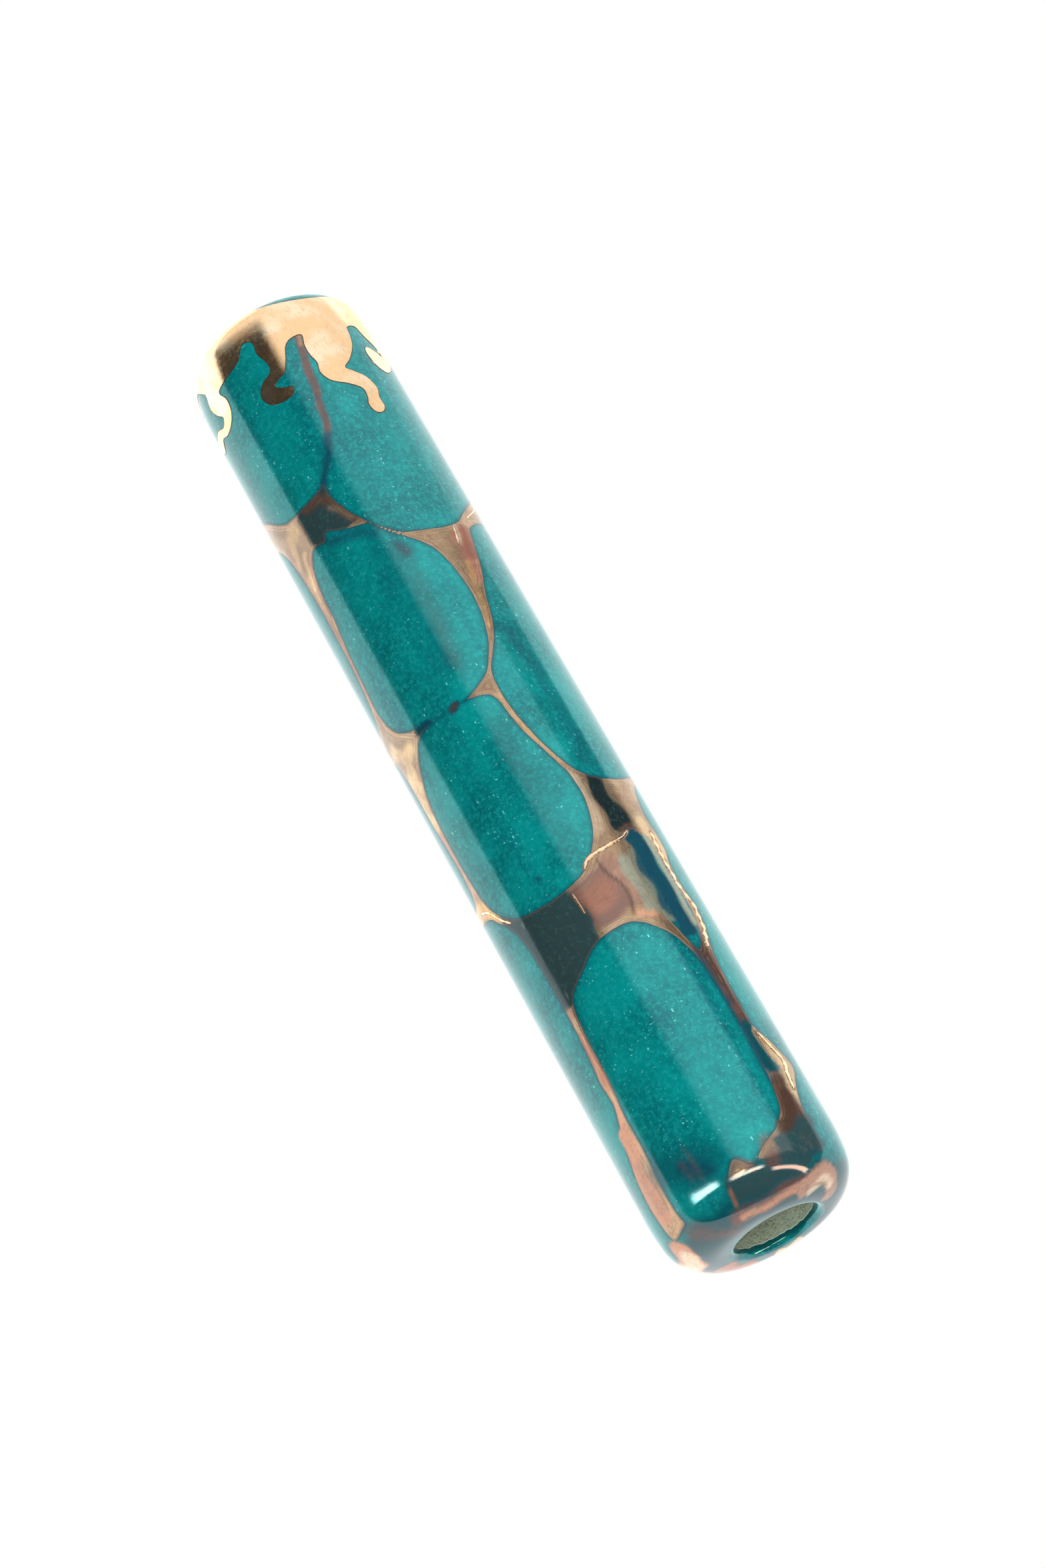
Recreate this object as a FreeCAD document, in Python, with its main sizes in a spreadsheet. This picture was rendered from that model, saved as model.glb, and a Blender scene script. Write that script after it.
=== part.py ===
"""Mezuzah case: a glazed stoneware tube with a gold cap, its scroll, stopper and mounting strip.

Every piece is modelled about the tube's own axis, with z = 0 at the lower end, and is then placed
so that the origin is the centre of the mounting strip's back face: +Z runs up the case, +Y points
into the doorpost, and the front of the case faces -Y.
"""
import math
import os

import FreeCAD
import Part
import Sketcher
from FreeCAD import Vector

SIZES = (
    ("case_length", 123.2, "whole case, end to end"),
    ("case_diameter", 22.0, "over the glaze"),
    ("glaze_thickness", 0.4, "glass coat on the fired clay"),
    ("gold_thickness", 0.05, "lustre film, thicker than life so that it is a solid"),
    ("bore_diameter", 9.5, "hole for the scroll"),
    ("bore_offset", 0.5, "the hand-cut hole sits this far to the right of the tube's centre"),
    ("mouth_rounding", 0.7, "rounded glaze lip round the mouth"),
    ("lip_depth", 1.4, "how far the glaze runs up inside the bore"),
    ("lower_edge_radius", 4.66, "rounding from the lower end face"),
    ("lower_shoulder_radius", 24.0, "gentle curve from that rounding into the wall"),
    ("lower_shoulder_height", 7.56, "where the straight wall starts"),
    ("upper_edge_radius", 2.6, "rounding from the upper end face"),
    ("upper_shoulder_radius", 31.7, "gentle curve from that rounding into the wall"),
    ("upper_shoulder_height", 6.72, "where the straight wall stops, below the upper end"),
    ("disc_thickness", 6.0, "clay disc that closes the bore"),
    ("disc_clearance", 0.05, "radial, disc in bore"),
    ("stopper_recess", 6.0, "mouth to the stopper's outer face"),
    ("stopper_length", 8.0, "cork"),
    ("stopper_clearance", 0.04, "radial, stopper in bore"),
    ("stopper_chamfer", 0.6, "both ends of the cork"),
    ("sleeve_gap", 0.3, "stopper to sleeve"),
    ("sleeve_clearance", 0.35, "radial, sleeve in bore"),
    ("sleeve_wall", 0.25, "clear film"),
    ("sleeve_overhang", 0.5, "sleeve past each end of the roll"),
    ("roll_length", 98.0, "height of the parchment sheet"),
    ("roll_clearance", 0.1, "radial, roll in sleeve"),
    ("roll_half_turns", 9, "number of half turns in the roll"),
    ("parchment_thickness", 0.3, "one layer"),
    ("layer_gap", 0.05, "between two layers of the roll"),
    ("strip_width", 9.0, "foam strip on the back"),
    ("strip_length", 90.0, "foam strip on the back"),
    ("strip_thickness", 0.8, "where the foam is squeezed thinnest"),
    ("strip_clearance", 0.02, "adhesive layer between glaze and foam"),
    ("strip_corner_radius", 3.0, "corners of the strip"),
)

# Lower edge of the gold, once round the case: degrees round from the front (positive to the right)
# and millimetres below the upper end. Curling drips of several lengths, joined by bare bays.
GOLD_EDGE = (
    (-58.0, 4.7), (-60.0, 6.7), (-56.5, 8.2), (-52.0, 9.3), (-57.0, 10.0), (-66.0, 9.2), (-76.0, 9.3),
    (-80.0, 10.3), (-72.0, 11.3), (-65.0, 10.5), (-57.0, 11.1), (-49.0, 10.9), (-43.5, 9.9), (-42.0, 8.3),
    (-44.8, 6.8), (-38.0, 6.4), (-29.0, 6.2), (-21.0, 5.7), (-15.0, 4.4), (-8.5, 5.0), (-9.0, 6.8),
    (-6.5, 8.4), (-7.5, 9.8), (-15.0, 10.5), (-19.5, 11.7), (-17.0, 13.2), (-10.0, 13.9), (-3.0, 13.8),
    (-0.5, 13.0), (-6.0, 12.5), (-10.0, 11.7), (-6.0, 11.1), (-0.5, 10.7), (3.5, 9.4), (7.5, 7.7),
    (13.0, 7.0), (19.5, 7.1), (18.0, 8.6), (18.0, 10.0), (19.5, 11.4), (18.3, 12.8), (22.0, 14.3),
    (31.0, 15.3), (37.5, 16.3), (37.5, 17.6), (35.6, 18.7), (37.5, 19.8), (42.0, 19.9), (45.3, 19.1),
    (45.2, 17.8), (47.5, 16.3), (44.5, 14.7), (37.5, 13.6), (34.0, 12.9), (40.0, 11.8), (47.0, 9.9),
    (50.0, 8.2), (51.5, 6.9), (59.0, 6.6), (63.5, 8.0), (69.5, 9.3), (71.5, 10.6), (66.0, 10.2),
    (59.0, 9.8), (56.0, 10.8), (59.0, 12.7), (65.0, 13.4), (72.0, 12.8), (80.0, 11.0), (87.0, 9.2),
    (96.0, 7.4), (106.0, 7.0), (113.0, 8.6), (115.5, 11.0), (112.0, 13.6), (114.0, 16.2), (120.0, 17.0),
    (125.5, 15.6), (124.0, 12.8), (127.5, 10.0), (136.0, 7.2), (147.0, 6.0), (157.0, 6.6), (163.0, 8.6),
    (161.0, 10.8), (165.0, 12.2), (171.5, 11.6), (174.5, 9.4), (182.0, 7.0), (192.0, 6.4), (199.0, 7.8),
    (201.5, 10.4), (199.0, 13.0), (202.0, 15.0), (208.0, 15.2), (212.5, 13.2), (212.0, 10.4),
    (216.5, 8.2), (226.0, 6.4), (237.0, 6.0), (244.0, 7.2), (249.5, 9.0), (256.0, 9.4), (261.0, 7.4),
    (268.0, 4.4), (278.0, 3.2), (290.0, 2.8),
)

LENGTH_TOLERANCE = 1e-4
VOLUME_TOLERANCE = 1e-3
SPLIT_REACH = 1.5

# The outline's pieces in order: what each line or arc is.
LOWER_FACE, LOWER_EDGE, LOWER_SHOULDER, WALL, UPPER_SHOULDER, UPPER_EDGE, UPPER_FACE, AXIS = range(8)
START, END, CENTRE = 1, 2, 3


def make_sheet(doc):
    sheet = doc.addObject("Spreadsheet::Sheet", "Sizes")
    for row, (alias, value, note) in enumerate(SIZES, start=1):
        sheet.set(f"A{row}", alias)
        sheet.set(f"B{row}", str(value))
        sheet.set(f"C{row}", note)
        sheet.setAlias(f"B{row}", alias)
    doc.recompute()
    return sheet


def new_body(doc, label, in_bore=False):
    """A body about the tube's axis, or the bore's, with the origin on the strip's back face."""
    body = doc.addObject("PartDesign::Body", label)
    body.Label = label
    if in_bore:
        body.setExpression("Placement.Base.x", "Sizes.bore_offset")
    body.setExpression("Placement.Base.y", "-Sizes.case_diameter / 2 - Sizes.strip_thickness")
    body.setExpression("Placement.Base.z", "-Sizes.case_length / 2")
    return body


def new_sketch(body, name, plane, lift=None):
    """A sketch on one of the body's origin planes, raised along that plane's normal."""
    sketch = body.newObject("Sketcher::SketchObject", name)
    features = body.Origin.OriginFeatures
    support = next(item for item in features if item.Role == plane)
    sketch.AttachmentSupport = [(support, "")]
    sketch.MapMode = "FlatFace"
    if lift:
        sketch.setExpression("AttachmentOffset.Base.z", lift)
    return sketch


def size_constraint(sketch, name, expression, *arguments):
    """A named dimension whose value follows an expression in the sheet."""
    index = sketch.addConstraint(Sketcher.Constraint(*arguments))
    sketch.renameConstraint(index, name)
    sketch.setExpression(f"Constraints.{name}", expression)


def circle(sketch, name, radius, expression, offset=0.0):
    """A circle about the tube's axis, or about the bore's when its offset is given."""
    centre = Vector(offset, 0, 0)
    index = sketch.addGeometry(Part.Circle(centre, Vector(0, 0, 1), radius), False)
    if offset:
        sketch.addConstraint(Sketcher.Constraint("PointOnObject", index, CENTRE, -1))
        place = ("DistanceX", -1, START, index, CENTRE, offset)
        size_constraint(sketch, f"{name}_offset", "Sizes.bore_offset", *place)
    else:
        sketch.addConstraint(Sketcher.Constraint("Coincident", index, CENTRE, -1, START))
    size_constraint(sketch, name, expression, "Radius", index, radius)


def corner(sheet, end):
    """Sizes of one end's rounding: both radii, where the wall meets it, and how the two arcs join."""
    edge = getattr(sheet, f"{end}_edge_radius")
    shoulder = getattr(sheet, f"{end}_shoulder_radius")
    height = getattr(sheet, f"{end}_shoulder_height")
    turn = math.asin((height - edge) / (shoulder - edge))
    centre = sheet.case_diameter / 2 - shoulder + (shoulder - edge) * math.cos(turn)
    return edge, shoulder, height, turn, centre


def outline(sheet, inset):
    """The tube's outline from axis to axis, moved inwards by inset: four lines and four arcs."""
    radius = sheet.case_diameter / 2
    length = sheet.case_length
    low_edge, low_shoulder, low_height, low_turn, low_centre = corner(sheet, "lower")
    top_edge, top_shoulder, top_height, top_turn, top_centre = corner(sheet, "upper")
    top_wall = length - top_height

    def line(x1, y1, x2, y2):
        return Part.LineSegment(Vector(x1, y1, 0), Vector(x2, y2, 0))

    def arc(x, y, size, start, stop):
        full = Part.Circle(Vector(x, y, 0), Vector(0, 0, 1), size - inset)
        return Part.ArcOfCircle(full, start, stop)

    return (
        line(0, inset, low_centre, inset),
        arc(low_centre, low_edge, low_edge, -math.pi / 2, -low_turn),
        arc(radius - low_shoulder, low_height, low_shoulder, -low_turn, 0),
        line(radius - inset, low_height, radius - inset, top_wall),
        arc(radius - top_shoulder, top_wall, top_shoulder, 0, top_turn),
        arc(top_centre, length - top_edge, top_edge, top_turn, math.pi / 2),
        line(top_centre, length - inset, 0, length - inset),
        line(0, length - inset, 0, inset),
    )


def join_outline(sketch):
    """Every piece starts where the last one ends, smoothly except at the axis."""
    for index in range(UPPER_FACE):
        sketch.addConstraint(Sketcher.Constraint("Tangent", index, END, index + 1, START))
    sketch.addConstraint(Sketcher.Constraint("Coincident", UPPER_FACE, END, AXIS, START))
    sketch.addConstraint(Sketcher.Constraint("Coincident", AXIS, END, LOWER_FACE, START))
    for index in (LOWER_FACE, UPPER_FACE):
        sketch.addConstraint(Sketcher.Constraint("Horizontal", index))
    for index in (WALL, AXIS):
        sketch.addConstraint(Sketcher.Constraint("Vertical", index))
    sketch.addConstraint(Sketcher.Constraint("PointOnObject", LOWER_FACE, START, -2))


def outline_sketch(body, sheet, name, inset_alias):
    """The outline as a sketch in the XZ plane, every size of it bound to the sheet."""
    inset = getattr(sheet, inset_alias) if inset_alias else 0.0
    cell = f"Sizes.{inset_alias}" if inset_alias else "0"
    top = "Sizes.case_length"
    length = sheet.case_length
    sketch = new_sketch(body, name, "XZ_Plane")
    sketch.addGeometry(list(outline(sheet, inset)), False)
    join_outline(sketch)
    radii = (
        (LOWER_EDGE, "lower_edge_radius"),
        (LOWER_SHOULDER, "lower_shoulder_radius"),
        (UPPER_SHOULDER, "upper_shoulder_radius"),
        (UPPER_EDGE, "upper_edge_radius"),
    )
    for index, alias in radii:
        value = getattr(sheet, alias) - inset
        size_constraint(sketch, alias, f"Sizes.{alias} - {cell}", "Radius", index, value)
    low_height = sheet.lower_shoulder_height
    top_height = length - sheet.upper_shoulder_height
    heights = (
        ("lower_face", LOWER_FACE, START, cell, inset),
        ("upper_face", UPPER_FACE, END, f"{top} - {cell}", length - inset),
        ("lower_shoulder", WALL, START, "Sizes.lower_shoulder_height", low_height),
        ("upper_shoulder", WALL, END, f"{top} - Sizes.upper_shoulder_height", top_height),
    )
    for label, index, end, expression, value in heights:
        if value == 0:
            sketch.addConstraint(Sketcher.Constraint("PointOnObject", index, end, -1))
        else:
            place = ("DistanceY", -1, START, index, end, value)
            size_constraint(sketch, label, expression, *place)
    place = ("DistanceX", -1, START, WALL, START, sheet.case_diameter / 2 - inset)
    size_constraint(sketch, "wall", f"Sizes.case_diameter / 2 - {cell}", *place)
    return sketch


def revolve(body, sketch, kind, name):
    feature = body.newObject(kind, name)
    feature.Profile = sketch
    feature.ReferenceAxis = (sketch, ["V_Axis"])
    feature.Angle = 360.0
    sketch.Visibility = False
    return feature


def extrude(body, sketch, kind, name, length):
    """A pad or pocket along +Z of the length that the expression gives."""
    feature = body.newObject(kind, name)
    feature.Profile = sketch
    feature.setExpression("Length", length)
    feature.Reversed = kind == "PartDesign::Pocket"
    sketch.Visibility = False
    return feature


def edge_names(feature, wanted):
    edges = enumerate(feature.Shape.Edges, start=1)
    return [f"Edge{number}" for number, edge in edges if wanted(edge)]


def on_mouth(edge, sheet):
    """An edge that runs round the bore at its mouth, in the lower half of the glazed lip."""
    middle = edge.valueAt((edge.FirstParameter + edge.LastParameter) / 2)
    reach = math.hypot(middle.x - sheet.bore_offset, middle.y)
    on_bore = abs(reach - sheet.bore_diameter / 2) < LENGTH_TOLERANCE
    low = edge.BoundBox.ZMax < sheet.lip_depth / 2
    return on_bore and low and edge.Length > sheet.bore_diameter


def cut_everything(doc, before, feature):
    """Recompute and make sure that the cut removed material."""
    doc.recompute()
    if feature.Shape.Volume >= before.Shape.Volume - VOLUME_TOLERANCE:
        raise RuntimeError(f"{feature.Label} cut nothing")


def ceramic_tube(doc, sheet):
    """Fired clay: the outline less the glaze, bored from end to end, wider where the lip is glazed."""
    body = new_body(doc, "ceramic_tube")
    sketch = outline_sketch(body, sheet, "clay_outline", "glaze_thickness")
    blank = revolve(body, sketch, "PartDesign::Revolution", "clay")
    sketch = new_sketch(body, "bore_circle", "XY_Plane")
    circle(sketch, "bore", sheet.bore_diameter / 2, "Sizes.bore_diameter / 2", sheet.bore_offset)
    bore = extrude(body, sketch, "PartDesign::Pocket", "bore", "Sizes.case_length")
    cut_everything(doc, blank, bore)
    sketch = new_sketch(body, "lip_circle", "XY_Plane")
    radius = sheet.bore_diameter / 2 + sheet.glaze_thickness
    circle(sketch, "lip", radius, "Sizes.bore_diameter / 2 + Sizes.glaze_thickness", sheet.bore_offset)
    seat = extrude(body, sketch, "PartDesign::Pocket", "lip_seat", "Sizes.lip_depth")
    cut_everything(doc, bore, seat)
    return body


def end_disc(doc, sheet):
    """Fired clay disc, level with the clay's upper end face, that closes the bore."""
    body = new_body(doc, "end_disc", in_bore=True)
    lift = "Sizes.case_length - Sizes.glaze_thickness - Sizes.disc_thickness"
    sketch = new_sketch(body, "disc_circle", "XY_Plane", lift)
    radius = sheet.bore_diameter / 2 - sheet.disc_clearance
    circle(sketch, "disc", radius, "Sizes.bore_diameter / 2 - Sizes.disc_clearance")
    extrude(body, sketch, "PartDesign::Pad", "disc", "Sizes.disc_thickness")
    doc.recompute()
    return body


def glaze_coat(doc, sheet):
    """Glass coat over the whole outside that turns in at the mouth with a rounded lip."""
    body = new_body(doc, "glaze_coat")
    sketch = outline_sketch(body, sheet, "glaze_outline", None)
    outside = revolve(body, sketch, "PartDesign::Revolution", "glass")
    sketch = outline_sketch(body, sheet, "inner_outline", "glaze_thickness")
    hollow = revolve(body, sketch, "PartDesign::Groove", "hollow")
    cut_everything(doc, outside, hollow)
    sketch = new_sketch(body, "ring_circle", "XY_Plane", "Sizes.glaze_thickness / 2")
    radius = sheet.bore_diameter / 2 + sheet.glaze_thickness
    circle(sketch, "ring", radius, "Sizes.bore_diameter / 2 + Sizes.glaze_thickness", sheet.bore_offset)
    extrude(body, sketch, "PartDesign::Pad", "ring", "Sizes.lip_depth - Sizes.glaze_thickness / 2")
    doc.recompute()
    ring = body.Tip
    sketch = new_sketch(body, "mouth_circle", "XY_Plane")
    circle(sketch, "mouth", sheet.bore_diameter / 2, "Sizes.bore_diameter / 2", sheet.bore_offset)
    mouth = extrude(body, sketch, "PartDesign::Pocket", "mouth", "Sizes.lip_depth + Sizes.glaze_thickness")
    cut_everything(doc, ring, mouth)
    lip = body.newObject("PartDesign::Fillet", "lip")
    lip.Base = (mouth, edge_names(mouth, lambda edge: on_mouth(edge, sheet)))
    lip.setExpression("Radius", "Sizes.mouth_rounding")
    cut_everything(doc, mouth, lip)
    return body


def on_case(degrees, height, radius):
    """A point round the case: degrees from the front, positive to the right, at a height."""
    angle = math.radians(degrees)
    return Vector(radius * math.sin(angle), -radius * math.cos(angle), height)


def turned(sheet, inset):
    """The solid of revolution inside the outline, its axis along Z."""
    wire = Part.Wire([line.toShape() for line in outline(sheet, inset)])
    wire.rotate(Vector(0, 0, 0), Vector(1, 0, 0), 90)
    swept = Part.Face(wire).revolve(Vector(0, 0, 0), Vector(0, 0, 1), 360)
    return Part.makeSolid(swept.Shells[0])


def gold_cap(doc, sheet):
    """Film on the glaze above the drip line: the skin split by a wall that follows the line."""
    skin = turned(sheet, -sheet.gold_thickness).cut(turned(sheet, 0.0))
    radius = sheet.case_diameter / 2
    length = sheet.case_length
    rims = []
    for size in (radius - SPLIT_REACH, radius + SPLIT_REACH):
        points = [on_case(degrees, length - drop, size) for degrees, drop in GOLD_EDGE]
        curve = Part.BSplineCurve()
        curve.interpolate(Points=points, PeriodicFlag=True)
        rims.append(curve.toShape())
    wall = Part.makeRuledSurface(rims[0], rims[1])
    pieces = skin.generalFuse([wall])[0].Solids
    film = max(pieces, key=lambda piece: piece.BoundBox.ZMax + piece.BoundBox.ZMin)
    feature = doc.addObject("Part::Feature", "gold_cap")
    feature.Label = "gold_cap"
    feature.Shape = film
    feature.Placement = tube_placement(sheet)
    return feature


def tube_placement(sheet, across=0.0):
    """Where a body made about the tube's axis goes, moved sideways when it lies in the bore."""
    back = -sheet.case_diameter / 2 - sheet.strip_thickness
    offset = Vector(across, back, -sheet.case_length / 2)
    return FreeCAD.Placement(offset, FreeCAD.Rotation())


def stopper(doc, sheet):
    """Cork with both ends chamfered, set back from the mouth."""
    body = new_body(doc, "stopper", in_bore=True)
    sketch = new_sketch(body, "cork_circle", "XY_Plane", "Sizes.stopper_recess")
    radius = sheet.bore_diameter / 2 - sheet.stopper_clearance
    circle(sketch, "cork", radius, "Sizes.bore_diameter / 2 - Sizes.stopper_clearance")
    pad = extrude(body, sketch, "PartDesign::Pad", "cork", "Sizes.stopper_length")
    doc.recompute()
    chamfer = body.newObject("PartDesign::Chamfer", "ends")
    chamfer.Base = (pad, edge_names(pad, lambda edge: isinstance(edge.Curve, Part.Circle)))
    chamfer.setExpression("Size", "Sizes.stopper_chamfer")
    cut_everything(doc, pad, chamfer)
    return body


def scroll_sleeve(doc, sheet):
    """Clear film tube, longer than the roll at both ends."""
    body = new_body(doc, "scroll_sleeve", in_bore=True)
    lift = "Sizes.stopper_recess + Sizes.stopper_length + Sizes.sleeve_gap"
    sketch = new_sketch(body, "film_circles", "XY_Plane", lift)
    outer = sheet.bore_diameter / 2 - sheet.sleeve_clearance
    circle(sketch, "outside", outer, "Sizes.bore_diameter / 2 - Sizes.sleeve_clearance")
    inside = "Sizes.bore_diameter / 2 - Sizes.sleeve_clearance - Sizes.sleeve_wall"
    circle(sketch, "inside", outer - sheet.sleeve_wall, inside)
    extrude(body, sketch, "PartDesign::Pad", "film", "Sizes.roll_length + 2 * Sizes.sleeve_overhang")
    doc.recompute()
    return body


def parchment_scroll(doc, sheet):
    """One sheet rolled up: half circles about two centres in turn, each a little smaller."""
    pitch = sheet.parchment_thickness + sheet.layer_gap
    shift = pitch / 4
    sleeve_inside = sheet.bore_diameter / 2 - sheet.sleeve_clearance - sheet.sleeve_wall
    outer = sleeve_inside - sheet.roll_clearance - shift
    bottom = sheet.stopper_recess + sheet.stopper_length + sheet.sleeve_gap + sheet.sleeve_overhang
    sides = []
    for depth in (0.0, sheet.parchment_thickness):
        arcs = []
        for half in range(int(sheet.roll_half_turns)):
            size = outer - half * pitch / 2 - depth
            side = 1 if half % 2 == 0 else -1
            centre = Vector(side * shift, 0, bottom)
            start = Vector(centre.x + side * size, 0, bottom)
            crest = Vector(centre.x, side * size, bottom)
            stop = Vector(centre.x - side * size, 0, bottom)
            arcs.append(Part.Arc(start, crest, stop).toShape())
        sides.append(arcs)
    outside, inside = sides
    ends = (
        (outside[0].firstVertex(), inside[0].firstVertex()),
        (outside[-1].lastVertex(), inside[-1].lastVertex()),
    )
    closing = [Part.LineSegment(one.Point, two.Point).toShape() for one, two in ends]
    wire = Part.Wire(Part.sortEdges(outside + inside + closing)[0])
    feature = doc.addObject("Part::Feature", "parchment_scroll")
    feature.Label = "parchment_scroll"
    feature.Shape = Part.Face(wire).extrude(Vector(0, 0, sheet.roll_length))
    feature.Placement = tube_placement(sheet, sheet.bore_offset)
    return feature


def mounting_strip(doc, sheet):
    """Foam strip: a slab with rounded corners, flat behind, hollowed in front to fit the glaze."""
    body = new_body(doc, "mounting_strip")
    back = "-Sizes.case_diameter / 2 - Sizes.strip_thickness"
    sketch = new_sketch(body, "strip_outline", "XZ_Plane", back)
    half = sheet.strip_width / 2
    low = (sheet.case_length - sheet.strip_length) / 2
    top = low + sheet.strip_length
    corners = [Vector(x, z, 0) for x, z in ((-half, low), (half, low), (half, top), (-half, top))]
    bottom_side, right_side, top_side, left_side = range(4)
    for one, two in zip(corners, corners[1:] + corners[:1]):
        sketch.addGeometry(Part.LineSegment(one, two), False)
    for side in (bottom_side, right_side, top_side, left_side):
        following = (side + 1) % len(corners)
        sketch.addConstraint(Sketcher.Constraint("Coincident", side, END, following, START))
    for kind, side in (("Vertical", right_side), ("Horizontal", top_side), ("Vertical", left_side)):
        sketch.addConstraint(Sketcher.Constraint(kind, side))
    sketch.addConstraint(
        Sketcher.Constraint("Symmetric", bottom_side, START, bottom_side, END, -2)
    )
    place = ("DistanceX", bottom_side, START, bottom_side, END, sheet.strip_width)
    size_constraint(sketch, "width", "Sizes.strip_width", *place)
    place = ("DistanceY", right_side, START, right_side, END, sheet.strip_length)
    size_constraint(sketch, "tall", "Sizes.strip_length", *place)
    lift = "(Sizes.case_length - Sizes.strip_length) / 2"
    place = ("DistanceY", -1, START, bottom_side, START, low)
    size_constraint(sketch, "foot", lift, *place)
    slab = extrude(body, sketch, "PartDesign::Pad", "slab", "Sizes.strip_width / 2")
    doc.recompute()
    rounded = body.newObject("PartDesign::Fillet", "corners")
    rounded.Base = (slab, edge_names(slab, is_along_y))
    rounded.setExpression("Radius", "Sizes.strip_corner_radius")
    cut_everything(doc, slab, rounded)
    sketch = new_sketch(body, "glaze_circle", "XY_Plane")
    bend = sheet.case_diameter / 2 + sheet.strip_clearance
    circle(sketch, "bend", bend, "Sizes.case_diameter / 2 + Sizes.strip_clearance")
    hollow = extrude(body, sketch, "PartDesign::Pocket", "hollow", "Sizes.case_length")
    cut_everything(doc, rounded, hollow)
    return body


def is_along_y(edge):
    straight = isinstance(edge.Curve, Part.Line)
    return straight and edge.Curve.Direction.cross(Vector(0, 1, 0)).Length < LENGTH_TOLERANCE


def check(doc, parts):
    """Stop unless everything recomputed and every piece is a valid solid."""
    for item in doc.Objects:
        if "Invalid" in item.State or "Error" in item.State:
            raise RuntimeError(f"{item.Label} did not recompute")
    for part in parts:
        if part.Shape.isNull() or not part.Shape.isValid() or not part.Shape.Solids:
            raise RuntimeError(f"{part.Label} is not a valid solid")


def main():
    doc = FreeCAD.newDocument("mezuzah_case")
    sheet = make_sheet(doc)
    makers = (
        ceramic_tube,
        end_disc,
        glaze_coat,
        gold_cap,
        parchment_scroll,
        scroll_sleeve,
        stopper,
        mounting_strip,
    )
    parts = [make(doc, sheet) for make in makers]
    doc.recompute()
    check(doc, parts)
    os.makedirs("parts", exist_ok=True)
    for part in parts:
        part.Shape.exportStep(f"parts/{part.Label}.step")
        print(f"{part.Label}: {part.Shape.Volume:.1f} mm3")


main()
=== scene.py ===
"""Looks of the glazed mezuzah case: teal glaze cells, copper lustre veins, gold cap, bare clay mouth.

Lengths on the surface are in millimetres and angles in degrees round the case from its front
(positive to the right), because that is how the pattern is laid out. Objects are in metres.
"""
import math

import bpy
import numpy as np
from mathutils import Matrix, Vector
from mathutils.geometry import delaunay_2d_cdt


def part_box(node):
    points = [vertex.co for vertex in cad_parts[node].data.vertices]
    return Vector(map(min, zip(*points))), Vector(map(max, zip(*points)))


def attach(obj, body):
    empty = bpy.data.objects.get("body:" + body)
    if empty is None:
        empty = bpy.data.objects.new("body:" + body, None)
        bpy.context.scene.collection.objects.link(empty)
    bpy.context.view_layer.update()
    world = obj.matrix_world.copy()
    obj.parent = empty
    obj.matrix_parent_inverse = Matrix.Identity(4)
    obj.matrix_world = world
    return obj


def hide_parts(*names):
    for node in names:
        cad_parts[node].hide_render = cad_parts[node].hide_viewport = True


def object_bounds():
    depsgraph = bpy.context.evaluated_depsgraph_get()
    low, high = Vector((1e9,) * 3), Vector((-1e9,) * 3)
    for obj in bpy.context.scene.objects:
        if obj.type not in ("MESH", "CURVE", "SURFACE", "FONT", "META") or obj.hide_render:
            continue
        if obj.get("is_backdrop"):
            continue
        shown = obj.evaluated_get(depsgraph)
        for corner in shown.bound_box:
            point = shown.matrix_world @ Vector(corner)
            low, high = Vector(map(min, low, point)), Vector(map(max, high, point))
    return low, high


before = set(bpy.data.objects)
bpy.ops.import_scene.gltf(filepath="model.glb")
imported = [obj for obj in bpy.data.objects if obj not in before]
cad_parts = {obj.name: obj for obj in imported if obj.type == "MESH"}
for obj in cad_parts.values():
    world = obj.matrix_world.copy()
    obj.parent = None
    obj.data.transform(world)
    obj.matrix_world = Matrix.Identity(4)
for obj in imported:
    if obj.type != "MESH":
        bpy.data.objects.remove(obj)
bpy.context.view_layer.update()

MM = 0.001

# ---------------------------------------------------------------- sizes, from the frame
glaze_low, glaze_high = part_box("glaze_coat")
cork_low, cork_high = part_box("stopper")
AXIS = Vector(((glaze_low.x + glaze_high.x) / 2, (glaze_low.y + glaze_high.y) / 2, glaze_low.z))
RADIUS = (glaze_high.x - glaze_low.x) / 2 / MM
LENGTH = (glaze_high.z - glaze_low.z) / MM
ROUND = 2 * math.pi * RADIUS
CORK_CLEARANCE = 0.04
BORE = (cork_high.x - cork_low.x) / 2 / MM + CORK_CLEARANCE
BORE_SHIFT = ((cork_low.x + cork_high.x) / 2 - AXIS.x) / MM

# An end is its edge radius, its shoulder radius and how far up the wall the rounding reaches.
LOWER_END = (4.66, 24.0, 7.56)
UPPER_END = (2.6, 31.7, 6.72)
GLAZE = 0.4
FILM = 0.05
SEGMENTS = 252
# The mouth: radius of its lip, how deep the glaze mesh goes, the mean depth at which the glaze
# breaks off, how far it stands proud of the clay and how far the clay drops behind its edge.
LIP_ROUND = 0.7
LIP_DEPTH = 1.4
EDGE_DEPTH = 1.12
EDGE_WAVES = ((3, 0.035), (7, 0.028), (17, 0.02), (31, 0.016), (53, 0.012))
EDGE_CHIPS = 16
GLAZE_PROUD = 0.02
EDGE_STEP = 0.045
# Height along the surface above which the glass on the upper end lies in one pool.
TOP_POOL = 126.0
# The dark line round the gold: how far it shows, and how far it runs under the gold.
STAIN = 0.11
STAIN_UNDER = 0.03
# The gold's mesh: points between two points of its edge, points up its seam, pitch of the
# triangles, gap between them and the outline, and the rows' lowest drop and highest place.
GOLD_STEPS = 6
GOLD_SEAM = 30
GOLD_PITCH = 0.42
GOLD_CLEAR = 0.22
GOLD_DROP = 21
GOLD_TOP = 129
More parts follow.
